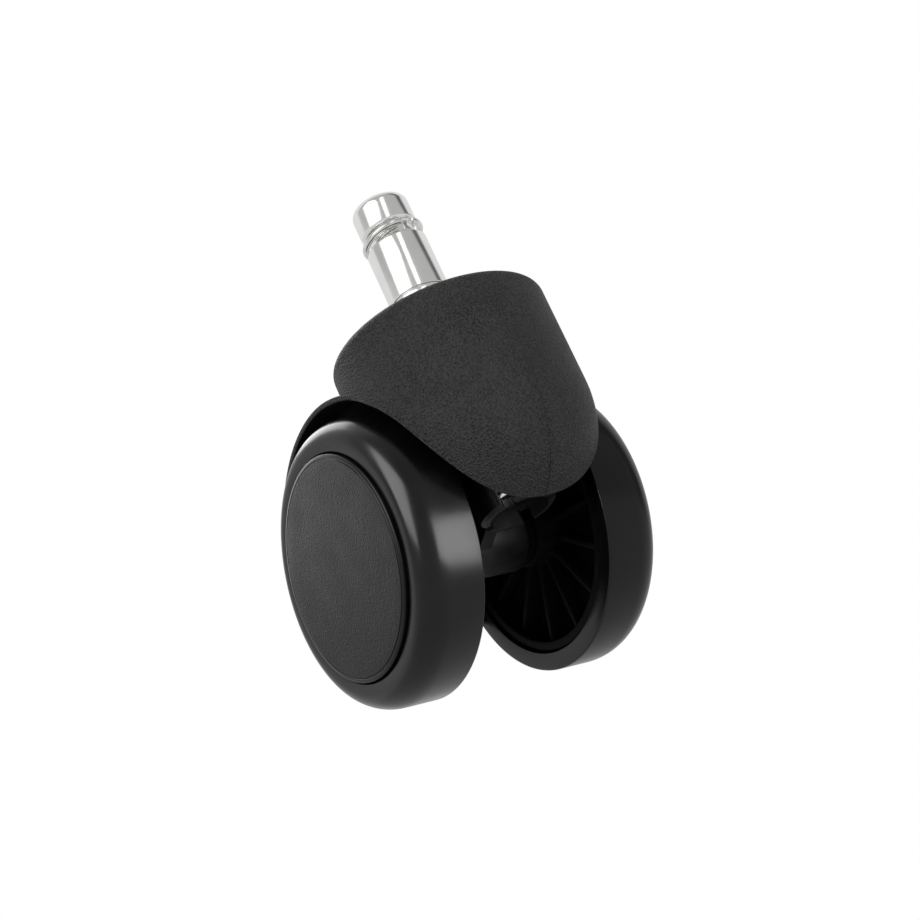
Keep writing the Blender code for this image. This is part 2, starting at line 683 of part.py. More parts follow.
# ---------------------------------------------------------------- assembly
def main():
    """Build every piece under its joint's empty."""
    steel = principled("plated_steel", (0.62, 0.62, 0.61), 0.16, 1.0)
    spring = principled("spring_steel", (0.50, 0.50, 0.50), 0.25, 1.0)
    acetal = principled("black_acetal", (0.015, 0.015, 0.015), 0.35, 0.0)
    nylon = principled("textured_nylon", (0.034, 0.034, 0.035), 0.62, 0.0)
    core_nylon = principled("core_nylon", (0.010, 0.010, 0.010), 0.38, 0.0)
    tread = principled("gloss_tread", (0.006, 0.006, 0.006), 0.18, 0.0)
    disc = principled("textured_cap", (0.045, 0.045, 0.046), 0.55, 0.0)

    chair = make_empty("chair_side", (0.0, 0.0, 0.0))
    build_stem(steel, chair)
    build_collar(steel, chair)
    build_grip_ring(spring, chair)
    build_clip(spring, chair)
    build_stem_washer(spring, chair)

    swivel = make_empty("swivel_axis", (0.0, 0.0, 0.0), chair)
    build_socket_bush(acetal, swivel)
    build_housing(nylon, swivel)

    axle_axis = make_empty("axle_axis", (-TRAIL, 0.0, AXLE_Z), swivel)
    build_axle(steel, axle_axis)
    for side_name, side in (("left", 1), ("right", -1)):
        build_thrust_washer(side_name, side, acetal, axle_axis)
        build_push_nut(side_name, side, spring, axle_axis)
        wheel = make_empty("wheel_axis_" + side_name, (0.0, 0.0, 0.0), axle_axis)
        build_hub_bush(side_name, side, acetal, wheel)
        build_core(side_name, side, core_nylon, wheel)
        build_tyre(side_name, side, tread, wheel)
        build_cap(side_name, side, disc, wheel)

    bpy.context.view_layer.update()
    for obj in PARTS.objects:
        if obj.type == "MESH":
            smooth(obj)


clear_scene()
PARTS = make_collection("chair_caster_wheel")
TOOLS = make_collection("cutters")
main()
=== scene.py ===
"""Looks of a hooded twin-wheel chair caster: fine pieces, finishes, light and camera.

Frame: metres, +Z up along the stem, +X towards the nose of the hood, +Y to the
left wheel, with the origin on the stem's axis level with its shoulder.
"""

import json
import logging
import math
from dataclasses import dataclass
from enum import Enum
from typing import Any, Iterable, Sequence

import bmesh
import bpy
from mathutils import Matrix, Vector

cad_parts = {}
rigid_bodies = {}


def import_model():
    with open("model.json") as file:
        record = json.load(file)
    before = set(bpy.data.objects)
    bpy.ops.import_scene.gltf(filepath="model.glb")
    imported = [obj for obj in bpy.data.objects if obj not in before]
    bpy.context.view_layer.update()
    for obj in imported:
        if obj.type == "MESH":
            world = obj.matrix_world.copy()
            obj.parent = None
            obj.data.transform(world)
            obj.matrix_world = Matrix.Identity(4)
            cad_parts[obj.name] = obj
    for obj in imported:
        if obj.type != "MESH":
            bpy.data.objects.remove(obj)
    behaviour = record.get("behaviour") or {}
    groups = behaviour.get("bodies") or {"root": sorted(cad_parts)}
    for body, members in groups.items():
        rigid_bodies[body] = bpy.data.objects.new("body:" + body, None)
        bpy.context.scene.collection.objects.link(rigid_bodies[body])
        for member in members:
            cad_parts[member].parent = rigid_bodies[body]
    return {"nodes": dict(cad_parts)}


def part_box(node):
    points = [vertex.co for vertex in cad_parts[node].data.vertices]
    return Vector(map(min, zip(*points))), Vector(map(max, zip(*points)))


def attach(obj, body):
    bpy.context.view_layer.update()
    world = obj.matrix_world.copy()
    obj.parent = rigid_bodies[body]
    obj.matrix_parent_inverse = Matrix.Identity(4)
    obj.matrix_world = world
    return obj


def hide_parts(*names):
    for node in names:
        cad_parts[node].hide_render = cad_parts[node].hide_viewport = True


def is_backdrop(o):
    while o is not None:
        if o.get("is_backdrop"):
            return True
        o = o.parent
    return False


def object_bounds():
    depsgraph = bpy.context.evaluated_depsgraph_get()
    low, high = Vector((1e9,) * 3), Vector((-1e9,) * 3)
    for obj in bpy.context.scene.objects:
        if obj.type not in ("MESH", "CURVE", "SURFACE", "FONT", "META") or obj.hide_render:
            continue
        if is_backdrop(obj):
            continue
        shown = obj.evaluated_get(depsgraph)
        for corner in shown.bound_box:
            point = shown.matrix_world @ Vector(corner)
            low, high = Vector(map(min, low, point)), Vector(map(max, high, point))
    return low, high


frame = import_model()

LOG = logging.getLogger("caster")

MM = 0.001
UP = Vector((0.0, 0.0, 1.0))
LEFT = Vector((0.0, 1.0, 0.0))
NOSE = Vector((1.0, 0.0, 0.0))
WELD = 0.001 * MM
SMOOTH_ANGLE = math.radians(30.0)

Point = tuple[float, float]


# ---------------------------------------------------------------- modelling
def select_only(*pieces: bpy.types.Object) -> None:
    """Select these pieces alone and make the first one active.

    Args:
        pieces: The pieces that the next operator works on.
    """
    if bpy.context.object and bpy.context.object.mode != "OBJECT":
        bpy.ops.object.mode_set(mode="OBJECT")
    bpy.ops.object.select_all(action="DESELECT")
    for piece in pieces:
        piece.select_set(True)
    if pieces:
        bpy.context.view_layer.objects.active = pieces[0]


def start_editing(piece: bpy.types.Object) -> None:
    """Enter edit mode on one piece with all of it selected.

    Args:
        piece: The piece to edit.
    """
    select_only(piece)
    bpy.ops.object.mode_set(mode="EDIT")
    bpy.ops.mesh.select_all(action="SELECT")


def stop_editing() -> None:
    """Return to object mode."""
    bpy.ops.object.mode_set(mode="OBJECT")


def face_out() -> None:
    """Merge doubles in the mesh being edited and face all of it outwards."""
    bpy.ops.mesh.select_all(action="SELECT")
    bpy.ops.mesh.remove_doubles(threshold=WELD)
    bpy.ops.mesh.normals_make_consistent(inside=False)


def settle(name: str) -> bpy.types.Object:
    """Name the new primitive and put its place into its mesh.

    Args:
        name: The piece's name.

    Returns:
        The active object, at the origin.
    """
    piece = bpy.context.object
    piece.name = name
    piece.data.name = name
    bpy.ops.object.transform_apply(location=True, rotation=True, scale=True)
    return piece


def drawn(name: str, points: Sequence[Vector]) -> bpy.types.Object:
    """Draw a chain of edges through points, one extrusion at a time.

    Args:
        name: The piece's name.
        points: The chain's corners, in the part's frame.

    Returns:
        The piece, in edit mode with its last point selected.
    """
    select_only()
    bpy.ops.mesh.primitive_plane_add(size=MM, location=points[0])
    piece = settle(name)
    start_editing(piece)
    bpy.ops.mesh.merge(type="CENTER")
    for start, end in zip(points, points[1:]):
        bpy.ops.mesh.extrude_region_move(TRANSFORM_OT_translate={"value": end - start})
    return piece


@dataclass(frozen=True)
class Spindle:
    """A line that outlines are turned about.

    Attributes:
        centre: A point on the line.
        along: The direction in which heights are measured.
        across: The direction in which an outline's radii are drawn.
    """

    centre: Vector
    along: Vector
    across: Vector = NOSE

    def point(self, radius: float, height: float) -> Vector:
        """Give the place of an outline point in the part's frame."""
        return self.centre + self.across * radius + self.along * height

    def turned(self, name: str, outline: Sequence[Point], steps: int) -> bpy.types.Object:
        """Draw an outline and spin it into a closed turned piece.

        Args:
            name: The piece's name.
            outline: (radius, height) corners, from axis to axis or back to the first.
            steps: Facets in a full turn.

        Returns:
            The turned piece.
        """
        piece = drawn(name, [self.point(radius, height) for radius, height in outline])
        bpy.ops.mesh.select_all(action="SELECT")
        bpy.ops.mesh.spin(steps=steps, angle=math.tau, center=self.centre, axis=self.along)
        face_out()
        stop_editing()
        return piece

    def rod(
        self, name: str, radius: float, low: float, high: float, steps: int
    ) -> bpy.types.Object:
        """Add a straight rod between two heights.

        Args:
            name: The rod's name.
            radius: The rod's radius.
            low: Height of its first end.
            high: Height of its second end.
            steps: Facets in a full turn.

        Returns:
            The rod, a guide shape for boolean work.
        """
        select_only()
        bpy.ops.mesh.primitive_cylinder_add(
            vertices=steps,
            radius=radius,
            depth=high - low,
            location=self.centre + self.along * (low + high) / 2.0,
            rotation=self.along.to_track_quat("Z", "Y").to_euler(),
        )
        return settle(name)


def arc(centre: Point, radii: Point, start: float, end: float, count: int) -> list[Point]:
    """Give the points of an elliptic arc.

    Args:
        centre: The arc's centre.
        radii: Its two half axes.
        start: First angle in degrees.
        end: Last angle in degrees.
        count: Straight steps along the arc.

    Returns:
        The points, both ends included.
    """
    points = []
    for i in range(count + 1):
        angle = math.radians(start + (end - start) * i / count)
        across = centre[0] + radii[0] * math.cos(angle)
        points.append((across, centre[1] + radii[1] * math.sin(angle)))
    return points


def ring_outline(outer: float, bore: float, top: float, bottom: float) -> list[Point]:
    """Give the closed outline of a plain ring."""
    return [(bore, top), (outer, top), (outer, bottom), (bore, bottom), (bore, top)]


def shaped(piece: bpy.types.Object, kind: str, **settings: Any) -> bpy.types.Object:
    """Add a modifier to a piece and apply it.

    Args:
        piece: The piece to change.
        kind: The modifier's type.
        settings: The modifier's settings.

    Returns:
        The same piece.
    """
    select_only(piece)
    modifier = piece.modifiers.new(kind.lower(), kind)
    for key, value in settings.items():
        setattr(modifier, key, value)
    bpy.ops.object.modifier_apply(modifier=modifier.name)
    return piece


def rounded(
    piece: bpy.types.Object, width: float, segments: int = 3, angle: float = 35.0
) -> bpy.types.Object:
    """Round the edges of a piece that are sharper than an angle.

    Args:
        piece: The piece to round.
        width: Reach of the rounding on each side of an edge.
        segments: Steps across the rounding.
        angle: Least angle of a rounded edge, in degrees.

    Returns:
        The same piece.
    """
    return shaped(
        piece,
        "BEVEL",
        width=width,
        segments=segments,
        limit_method="ANGLE",
        angle_limit=math.radians(angle),
        miter_outer="MITER_ARC",
        use_clamp_overlap=True,
    )


class Join(Enum):
    """How a second shape changes the first."""

    ADD = "UNION"
    CUT = "DIFFERENCE"


def combine(
    piece: bpy.types.Object, how: Join, tools: Iterable[bpy.types.Object]
) -> bpy.types.Object:
    """Add shapes to a piece or cut them from it, then discard them.

    Args:
        piece: The piece that stays.
        how: Whether the shapes are added or cut away.
        tools: The shapes.

    Returns:
        The same piece.
    """
    for tool in tools:
        shaped(piece, "BOOLEAN", operation=how.value, solver="EXACT", object=tool)
        bpy.data.objects.remove(tool, do_unlink=True)
    return piece


def mirrored(piece: bpy.types.Object, name: str) -> bpy.types.Object:
    """Copy a left-hand piece across the middle plane, with a mesh of its own.

    Args:
        piece: The left-hand piece.
        name: The copy's name.

    Returns:
        The right-hand piece.
    """
    select_only(piece)
    bpy.ops.object.duplicate(linked=False)
    twin = bpy.context.object
    twin.scale.y = -1.0
    settle(name)
    start_editing(twin)
    bpy.ops.mesh.normals_make_consistent(inside=False)
    stop_editing()
    return twin


# ---------------------------------------------------------------- finishes
WHITE = (1.0, 1.0, 1.0, 1.0)
# A noise node's output keeps near its middle: these spans of it cover the full range.
TINT_SPAN = (0.35, 0.65)
GLOSS_SPAN = (0.3, 0.7)
# The span of a summed grain height from the bottoms of its pits to their tops, over which the
# painted highlight on the tops rises.
TOPS_SPAN = (0.68, 1.02)


def linear(code: str) -> tuple[float, float, float, float]:
    """Turn an sRGB hex colour into linear RGBA.

    Args:
        code: The colour, as in "#2b2c2d".

    Returns:
        Four linear numbers, the last one opaque.
    """
    channels = [int(code[i : i + 2], 16) / 255.0 for i in (1, 3, 5)]
    red, green, blue = (
        c / 12.92 if c <= 0.04045 else ((c + 0.055) / 1.055) ** 2.4 for c in channels
    )
    return red, green, blue, 1.0


def add_node(
    tree: bpy.types.NodeTree, kind: str, inputs: dict[Any, Any], **settings: Any
) -> bpy.types.Node:
    """Add a node with its settings, values and links.

    Args:
        tree: The material's or world's tree.
        kind: The node's type.
        inputs: A value, or the socket of another node, for each named input.
        settings: The node's own settings.

    Returns:
        The new node.
    """
    node = tree.nodes.new(kind)
    for key, value in settings.items():
        setattr(node, key, value)
    for key, value in inputs.items():
        if isinstance(value, bpy.types.NodeSocket):
            tree.links.new(value, node.inputs[key])
        else:
            node.inputs[key].default_value = value
    return node


@dataclass(frozen=True)
class Finish:
    """A real surface: what it is made of and how it was made.

    Attributes:
        name: The finish's name.
        dark: Darkest colour of the surface.
        light: Lightest colour of the surface.
        smooth: Least roughness.
        rough: Most roughness.
        metallic: 1 for bare metal and 0 for the rest.
        ior: Index of refraction; metals keep the usual one.
        shine: Strength of the surface reflection, 0.5 for a bare smooth one.
        patch: Width of the cloudy patches in colour and roughness.
        grain: Width of one grain of the surface relief.
        relief: Height of that grain.
    """

    name: str
    dark: str
    light: str
    smooth: float
    rough: float
    metallic: float = 0.0
    ior: float = 1.5
    shine: float = 0.5
    patch: float = 6.0 * MM
    grain: float = 0.4 * MM
    relief: float = 0.0

    def material(self) -> bpy.types.Material:
        """Make the finish's node material.

        Returns:
            A material on Object coordinates.
        """
        made = bpy.data.materials.new(self.name)
        made.use_nodes = True
        tree = made.node_tree
        shader = tree.nodes["Principled BSDF"]
        shader.inputs["Metallic"].default_value = self.metallic
        shader.inputs["IOR"].default_value = self.ior
        shader.inputs["Specular IOR Level"].default_value = self.shine
        place = add_node(tree, "ShaderNodeTexCoord", {}).outputs["Object"]
        cloud = add_node(
            tree, "ShaderNodeTexNoise", {"Vector": place, "Scale": 1.0 / self.patch, "Detail": 3.0}
        ).outputs["Fac"]
        grain = self.grain_height(tree, place)
        low, high = TINT_SPAN
        tint = add_node(
            tree, "ShaderNodeMapRange", {"Value": cloud, "From Min": low, "From Max": high}
        ).outputs["Result"]
        share = self.colour_share(tree, tint, grain)
        colour = add_node(
            tree,
            "ShaderNodeMix",
            {"Factor": share, "A": linear(self.dark), "B": linear(self.light)},
            data_type="RGBA",
        )
        tree.links.new(colour.outputs["Result"], shader.inputs["Base Color"])
        low, high = GLOSS_SPAN
        gloss = add_node(
            tree,
            "ShaderNodeMapRange",
            {
                "Value": cloud,
                "From Min": low,
                "From Max": high,
                "To Min": self.smooth,
                "To Max": self.rough,
            },
        ).outputs["Result"]
        tree.links.new(self.gloss(tree, place, gloss), shader.inputs["Roughness"])
        if self.relief:
            bump = add_node(
                tree, "ShaderNodeBump", {"Height": grain, "Strength": 1.0, "Distance": self.relief}
            )
            tree.links.new(bump.outputs["Normal"], shader.inputs["Normal"])
        return made

    def grain_height(
        self, tree: bpy.types.NodeTree, place: bpy.types.NodeSocket
    ) -> bpy.types.NodeSocket:
        """Add the nodes of the surface relief.

        Args:
            tree: The material's tree.
            place: The Object coordinates.

        Returns:
            The relief's height.
        """
        return add_node(
            tree, "ShaderNodeTexNoise", {"Vector": place, "Scale": 1.0 / self.grain, "Detail": 2.0}
        ).outputs["Fac"]

    def colour_share(
        self, tree: bpy.types.NodeTree, tint: bpy.types.NodeSocket, grain: bpy.types.NodeSocket
    ) -> bpy.types.NodeSocket:
        """Give the share of the lighter colour."""
        return tint

    def gloss(
        self, tree: bpy.types.NodeTree, place: bpy.types.NodeSocket, value: bpy.types.NodeSocket
    ) -> bpy.types.NodeSocket:
        """Give the roughness."""
        return value


@dataclass(frozen=True)
class TurnedMetal(Finish):
    """Metal turned on a lathe before it was plated: fine rings round the stem's axis."""

    ring_pitch: float = 0.25 * MM
    ring_stretch: float = 0.02

    def grain_height(
        self, tree: bpy.types.NodeTree, place: bpy.types.NodeSocket
    ) -> bpy.types.NodeSocket:
        """Add rings round the stem, as fine as can show.

        Args:
            tree: The material's tree.
            place: The Object coordinates.

        Returns:
            The rings' height.
        """
        scale = (self.ring_stretch, self.ring_stretch, 1.0)
        rings = add_node(tree, "ShaderNodeMapping", {"Vector": place, "Scale": scale})
        return add_node(
            tree,
            "ShaderNodeTexNoise",
            {"Vector": rings.outputs["Vector"], "Scale": 1.0 / self.ring_pitch, "Detail": 2.0},
        ).outputs["Fac"]


@dataclass(frozen=True)
class SparkGrain(Finish):
    """Plastic moulded against a spark-eroded tool: rounded pits packed side by side."""

    pit_softness: float = 0.6
    grit_ratio: float = 1.6
    # How much of the colour follows the grain's height: painted highlight on the tops, painted
    # shade in the pits.
    tops_light_share: float = 0.7

    def grain_height(
        self, tree: bpy.types.NodeTree, place: bpy.types.NodeSocket
    ) -> bpy.types.NodeSocket:
        """Add packed pits over a finer grit.

        Args:
            tree: The material's tree.
            place: The Object coordinates.

        Returns:
            The height of both together.
        """
        pits = add_node(
            tree,
            "ShaderNodeTexVoronoi",
            {"Vector": place, "Scale": 1.0 / self.grain, "Smoothness": self.pit_softness},
            feature="SMOOTH_F1",
        ).outputs["Distance"]
        grit = add_node(
            tree,
            "ShaderNodeTexNoise",
            {"Vector": place, "Scale": self.grit_ratio / self.grain, "Detail": 2.0},
        ).outputs["Fac"]
        return add_node(
            tree, "ShaderNodeMath", {0: pits, 1: grit}, operation="ADD"
        ).outputs["Value"]

    def colour_share(
        self, tree: bpy.types.NodeTree, tint: bpy.types.NodeSocket, grain: bpy.types.NodeSocket
    ) -> bpy.types.NodeSocket:
        """Make the colour cloudy, and paler on the tops of the grain as painted highlight, darker
        in its pits as painted shade.

        Args:
            tree: The material's tree.
            tint: The cloudy part.
            grain: The grain's height.

        Returns:
            The share of the lighter colour.
        """
        # Painted light: the grain's tops take the lighter colour and its pits the darker one.
        low, high = TOPS_SPAN
        tops = add_node(
            tree, "ShaderNodeMapRange", {"Value": grain, "From Min": low, "From Max": high}
        ).outputs["Result"]
        return add_node(
            tree,
            "ShaderNodeMix",
            {"Factor": self.tops_light_share, "A": tint, "B": tops},
            data_type="FLOAT",
        ).outputs["Result"]


@dataclass(frozen=True)
class BorderedCap(SparkGrain):
    """Grained cover disc with a smooth border, which the tool's polished rim leaves."""

    centre: Vector = Vector((0.0, 0.0, 0.0))
    border_start: float = 18.6 * MM
    border_blur: float = 0.05 * MM
    border_rough: float = 0.3

    def face_share(
        self, tree: bpy.types.NodeTree, place: bpy.types.NodeSocket
    ) -> bpy.types.NodeSocket:
        """Tell the grained face from the border by the distance from the axle.

        Args:
            tree: The material's tree.
            place: The Object coordinates.

        Returns:
            1 on the grained face and 0 on the smooth border and below it.
        """
        flat = add_node(
            tree, "ShaderNodeVectorMath", {0: place, 1: (1.0, 0.0, 1.0)}, operation="MULTIPLY"
        ).outputs["Vector"]
        reach = add_node(
            tree,
            "ShaderNodeVectorMath",
            {0: flat, 1: (self.centre.x, 0.0, self.centre.z)},
            operation="DISTANCE",
        ).outputs["Value"]
        return add_node(
            tree,
            "ShaderNodeMapRange",
            {
                "Value": reach,
                "From Min": self.border_start - self.border_blur,
                "From Max": self.border_start + self.border_blur,
                "To Min": 1.0,
                "To Max": 0.0,
            },
        ).outputs["Result"]

    def grain_height(
        self, tree: bpy.types.NodeTree, place: bpy.types.NodeSocket
    ) -> bpy.types.NodeSocket:
        """Add the grain on the face alone.

        Args:
            tree: The material's tree.
            place: The Object coordinates.

        Returns:
            The grain's height, 0 on the border, so the border gets none of the painted highlight of
            the grain's tops.
        """
        height = super().grain_height(tree, place)
        share = self.face_share(tree, place)
        return add_node(
            tree, "ShaderNodeMath", {0: height, 1: share}, operation="MULTIPLY"
        ).outputs["Value"]

    def gloss(
        self, tree: bpy.types.NodeTree, place: bpy.types.NodeSocket, value: bpy.types.NodeSocket
    ) -> bpy.types.NodeSocket:
        """Make the border smoother than the face.

        Args:
            tree: The material's tree.
            place: The Object coordinates.
            value: The face's roughness.

        Returns:
            The roughness.
        """
        share = self.face_share(tree, place)
        return add_node(
            tree,
            "ShaderNodeMix",
            {"Factor": share, "A": self.border_rough, "B": value},
            data_type="FLOAT",
        ).outputs["Result"]


# Nickel-chrome plate over turned steel, polished: near-mirror, neutral, long bands of light.
PLATING = TurnedMetal(
    "polished_plating", "#f2f2f0", "#fafaf8", 0.12, 0.17, metallic=1.0, relief=0.0001 * MM
)
# Spring steel wire, bright drawn: a little greyer than the plate, with a soft sheen.
SPRING = Finish(
    "spring_wire", "#dededc", "#ececea", 0.1, 0.18, metallic=1.0, patch=1.5 * MM
)
# Zinc-plated pressed and cut steel: pale grey with a cloudy satin surface.
ZINC = Finish(
    "zinc_plate", "#a9abab", "#c3c5c6", 0.24, 0.36, metallic=1.0, patch=2.0 * MM
)
# Acetal, moulded: black, waxy and smooth.
ACETAL = Finish("black_acetal", "#070707", "#0c0c0c", 0.3, 0.4, ior=1.48, shine=0.3)
# Glass-filled nylon from a spark-eroded tool: charcoal, matt, with a fine even grain,
# drawn at 0.38 mm, as coarse as it needs to show.
# Its grain's tops are painted paler as highlight, and its pits darker as shade.
HOOD_NYLON = SparkGrain(
    "spark_grained_nylon", "#030303", "#232324", 0.46, 0.6, ior=1.45, shine=0.21,
    patch=9.0 * MM, grain=0.38 * MM, relief=0.3 * MM,
)
# The same nylon where the tool is left plain, inside the arch and the hood: smooth, and blacker as
# painted shade for faces that lie in the hood's shadow.
SHADED_INNER_NYLON = Finish(
    "plain_inner_nylon", "#0b0b0b", "#141414", 0.36, 0.5, ior=1.45, shine=0.3, patch=5.0 * MM
)
# Nylon from a plain machined tool: near black with a dull shine.
CORE_NYLON = Finish(
    "moulded_core_nylon", "#0a0a0a", "#101010", 0.45, 0.55, ior=1.48, shine=0.04, patch=4.0 * MM
)
# Cast polyurethane tyre from a polished tool: deep black, glassy, with a very slight ripple.
TYRE = Finish(
    "glossy_polyurethane", "#040404", "#070707", 0.2, 0.27, ior=1.38,
    patch=8.0 * MM, grain=5.0 * MM, relief=0.01 * MM,
)


# ---------------------------------------------------------------- layout
@dataclass(frozen=True)
class Layout:
    """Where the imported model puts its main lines.

    Attributes:
        stem: The stem's axis.
        axle: The axle's axis, with heights to the left.
    """

    stem: Spindle
    axle: Spindle

    @staticmethod
    def from_frame() -> "Layout":
        """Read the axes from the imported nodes' boxes.

        Returns:
            The layout of this pack.
        """
        low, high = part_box("axle")
        middle = (low + high) / 2.0
        return Layout(Spindle(Vector((0.0, 0.0, 0.0)), UP), Spindle(middle, LEFT))


def half_width(node: str) -> float:
    """Give half the size of a node's box along X."""
    low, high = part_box(node)
    return (high.x - low.x) / 2.0


def report(piece: bpy.types.Object, note: str) -> None:
    """Log a piece's name, its face count and a word on it."""
    LOG.info("%s: %d faces, %s", piece.name, len(piece.data.polygons), note)


def dress(piece: bpy.types.Object, material: bpy.types.Material) -> None:
    """Give a piece one material and smooth shading with its true edges kept.

    Args:
        piece: The piece.
        material: Its material.
    """
    piece.data.materials.clear()
    piece.data.materials.append(material)
    select_only(piece)
    bpy.ops.object.shade_smooth_by_angle(angle=SMOOTH_ANGLE)


def place_piece(piece: bpy.types.Object, node: str, body: str) -> None:
    """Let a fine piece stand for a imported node.

    Args:
        piece: The fine piece.
        node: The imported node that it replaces.
        body: The body that it rides on.
    """
    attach(piece, body)
    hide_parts(node)
    report(piece, "rides on " + body)


def dress_nodes(finishes: dict[str, bpy.types.Material]) -> None:
    """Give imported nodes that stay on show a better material.

    Args:
        finishes: A material for each node's name.
    """
    for node, material in finishes.items():
        for slot in frame["nodes"][node].material_slots:
            slot.material = material
        LOG.info("%s: packed shape with %s", node, material.name)


# ---------------------------------------------------------------- stem
@dataclass
class StemSet:
    """Stem with its head, ring groove and journal, its collar and its grip ring.

    The ring's gap, turn and tilt are in degrees; the rest are lengths and counts.
    """

    layout: Layout
    body: str = "stem_body"
    dome: float = 1.8 * MM
    head_inset: float = 0.3 * MM
    head_length: float = 6.2 * MM
    groove_width: float = 2.6 * MM
    groove_depth: float = 1.5 * MM
    chamfer: float = 0.5 * MM
    foot_width: float = 0.35 * MM
    foot_height: float = 1.35 * MM
    foot_groove: float = 0.25 * MM
    shoulder_play: float = 0.03 * MM
    edge: float = 0.12 * MM
    collar_ledge: float = 1.3 * MM
    collar_wall: float = 1.0 * MM
    collar_edge: float = 0.22 * MM
    journal_radius: float = 4.0 * MM
    journal_chamfer: float = 0.6 * MM
    clip_groove: float = 0.8 * MM
    clip_play: float = 0.3 * MM
    ring_wire: float = 0.6 * MM
    ring_radius: float = 5.25 * MM
    ring_gap: float = 24.0
    ring_gap_turn: float = -18.0
    ring_tilt: float = 5.5
    ring_tilt_axis: Vector = Vector((0.45, -0.9, 0.0))
    ring_edge: float = 0.15 * MM
    ring_steps: int = 96
    wire_steps: int = 20
    dome_steps: int = 12
    steps: int = 128

    def build(self) -> None:
        """Build and dress every piece of the set."""
        plating = PLATING.material()
        spring = SPRING.material()
        stem = self.stem()
        dress(stem, plating)
        place_piece(stem, "stem", self.body)
        collar = self.collar()
        dress(collar, plating)
        place_piece(collar, "stem_collar", self.body)
        ring = self.grip_ring()
        dress(ring, spring)
        place_piece(ring, "grip_ring", self.body)
        dress_nodes({"stem_clip": spring, "stem_washer": ZINC.material()})

    def stem(self) -> bpy.types.Object:
        """Turn the stem from its domed head to the journal's foot.

        Returns:
            The stem.
        """
        low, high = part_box("stem")
        collar_low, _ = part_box("stem_collar")
        clip_low, clip_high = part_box("stem_clip")
        top = high.z
        collar_seat = collar_low.z - self.clip_play
        flange = half_width("stem")
        radius = half_width("stem_collar") - self.collar_ledge
        head = radius - self.head_inset
        flange_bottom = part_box("stem_washer")[1].z + self.clip_play
        groove_top = top - self.head_length
        groove_bottom = groove_top - self.groove_width
        floor = radius - self.groove_depth
        clip_floor = self.journal_radius - self.clip_groove
        dome = (head - self.dome, top - self.dome)
        outline = [(0.0, top)]
        outline += arc(dome, (self.dome, self.dome), 90.0, 0.0, self.dome_steps)
        outline += [
            (head, groove_top + self.chamfer),
            (head - self.chamfer, groove_top),
            (floor, groove_top),
            (floor, groove_bottom),
            (radius - self.chamfer, groove_bottom),
            (radius, groove_bottom - self.chamfer),
            (radius, self.foot_height + self.foot_groove * 2.0),
            (radius - self.foot_groove, self.foot_height + self.foot_groove),
            (radius - self.foot_groove, self.foot_height),
            (radius + self.foot_width, self.foot_height - self.foot_groove / 2.0),
            (radius + self.foot_width, self.shoulder_play),
            (radius, self.shoulder_play),
            (radius, collar_seat),
            (flange, collar_seat),
            (flange, flange_bottom),
            (self.journal_radius, flange_bottom),
            (self.journal_radius, clip_high.z + self.clip_play),
            (clip_floor, clip_high.z + self.clip_play),
            (clip_floor, clip_low.z - self.clip_play),
            (self.journal_radius, clip_low.z - self.clip_play),
            (self.journal_radius, low.z + self.journal_chamfer),
            (self.journal_radius - self.journal_chamfer, low.z),
            (0.0, low.z),
        ]
        return rounded(self.layout.stem.turned("stem_fine", outline, self.steps), self.edge)

    def collar(self) -> bpy.types.Object:
        """Turn the pressed collar with a soft upper edge.

        Returns:
            The collar.
        """
        low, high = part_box("stem_collar")
        radius = half_width("stem_collar")
        outline = ring_outline(radius, radius - self.collar_wall, high.z, low.z)
        collar = self.layout.stem.turned("stem_collar_fine", outline, self.steps)
        return rounded(collar, self.collar_edge, segments=4)

    def grip_ring(self) -> bpy.types.Object:
        """Sweep round wire into a split ring that sits askew in its groove.

        Returns:
            The ring.
        """
        low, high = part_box("grip_ring")
        height = (low.z + high.z) / 2.0
        turn = math.radians(self.ring_gap_turn + self.ring_gap / 2.0)
        out = Vector((math.cos(turn), math.sin(turn), 0.0))
        select_only()
        bpy.ops.mesh.primitive_circle_add(
            vertices=self.wire_steps,
            radius=self.ring_wire,
            fill_type="NGON",
            location=out * self.ring_radius + UP * height,
            rotation=out.cross(UP).to_track_quat("Z", "Y").to_euler(),
        )
        ring = settle("grip_ring_fine")
        start_editing(ring)
        bpy.ops.mesh.spin(
            steps=self.ring_steps,
            angle=math.radians(360.0 - self.ring_gap),
            center=(0.0, 0.0, height),
            axis=UP,
        )
        face_out()
        stop_editing()
        rounded(ring, self.ring_edge)
        middle = Matrix.Translation((0.0, 0.0, height))
        tilt = Matrix.Rotation(math.radians(self.ring_tilt), 4, self.ring_tilt_axis)
        ring.matrix_world = middle @ tilt @ middle.inverted()
        select_only(ring)
        bpy.ops.object.transform_apply(location=True, rotation=True, scale=True)
        return ring


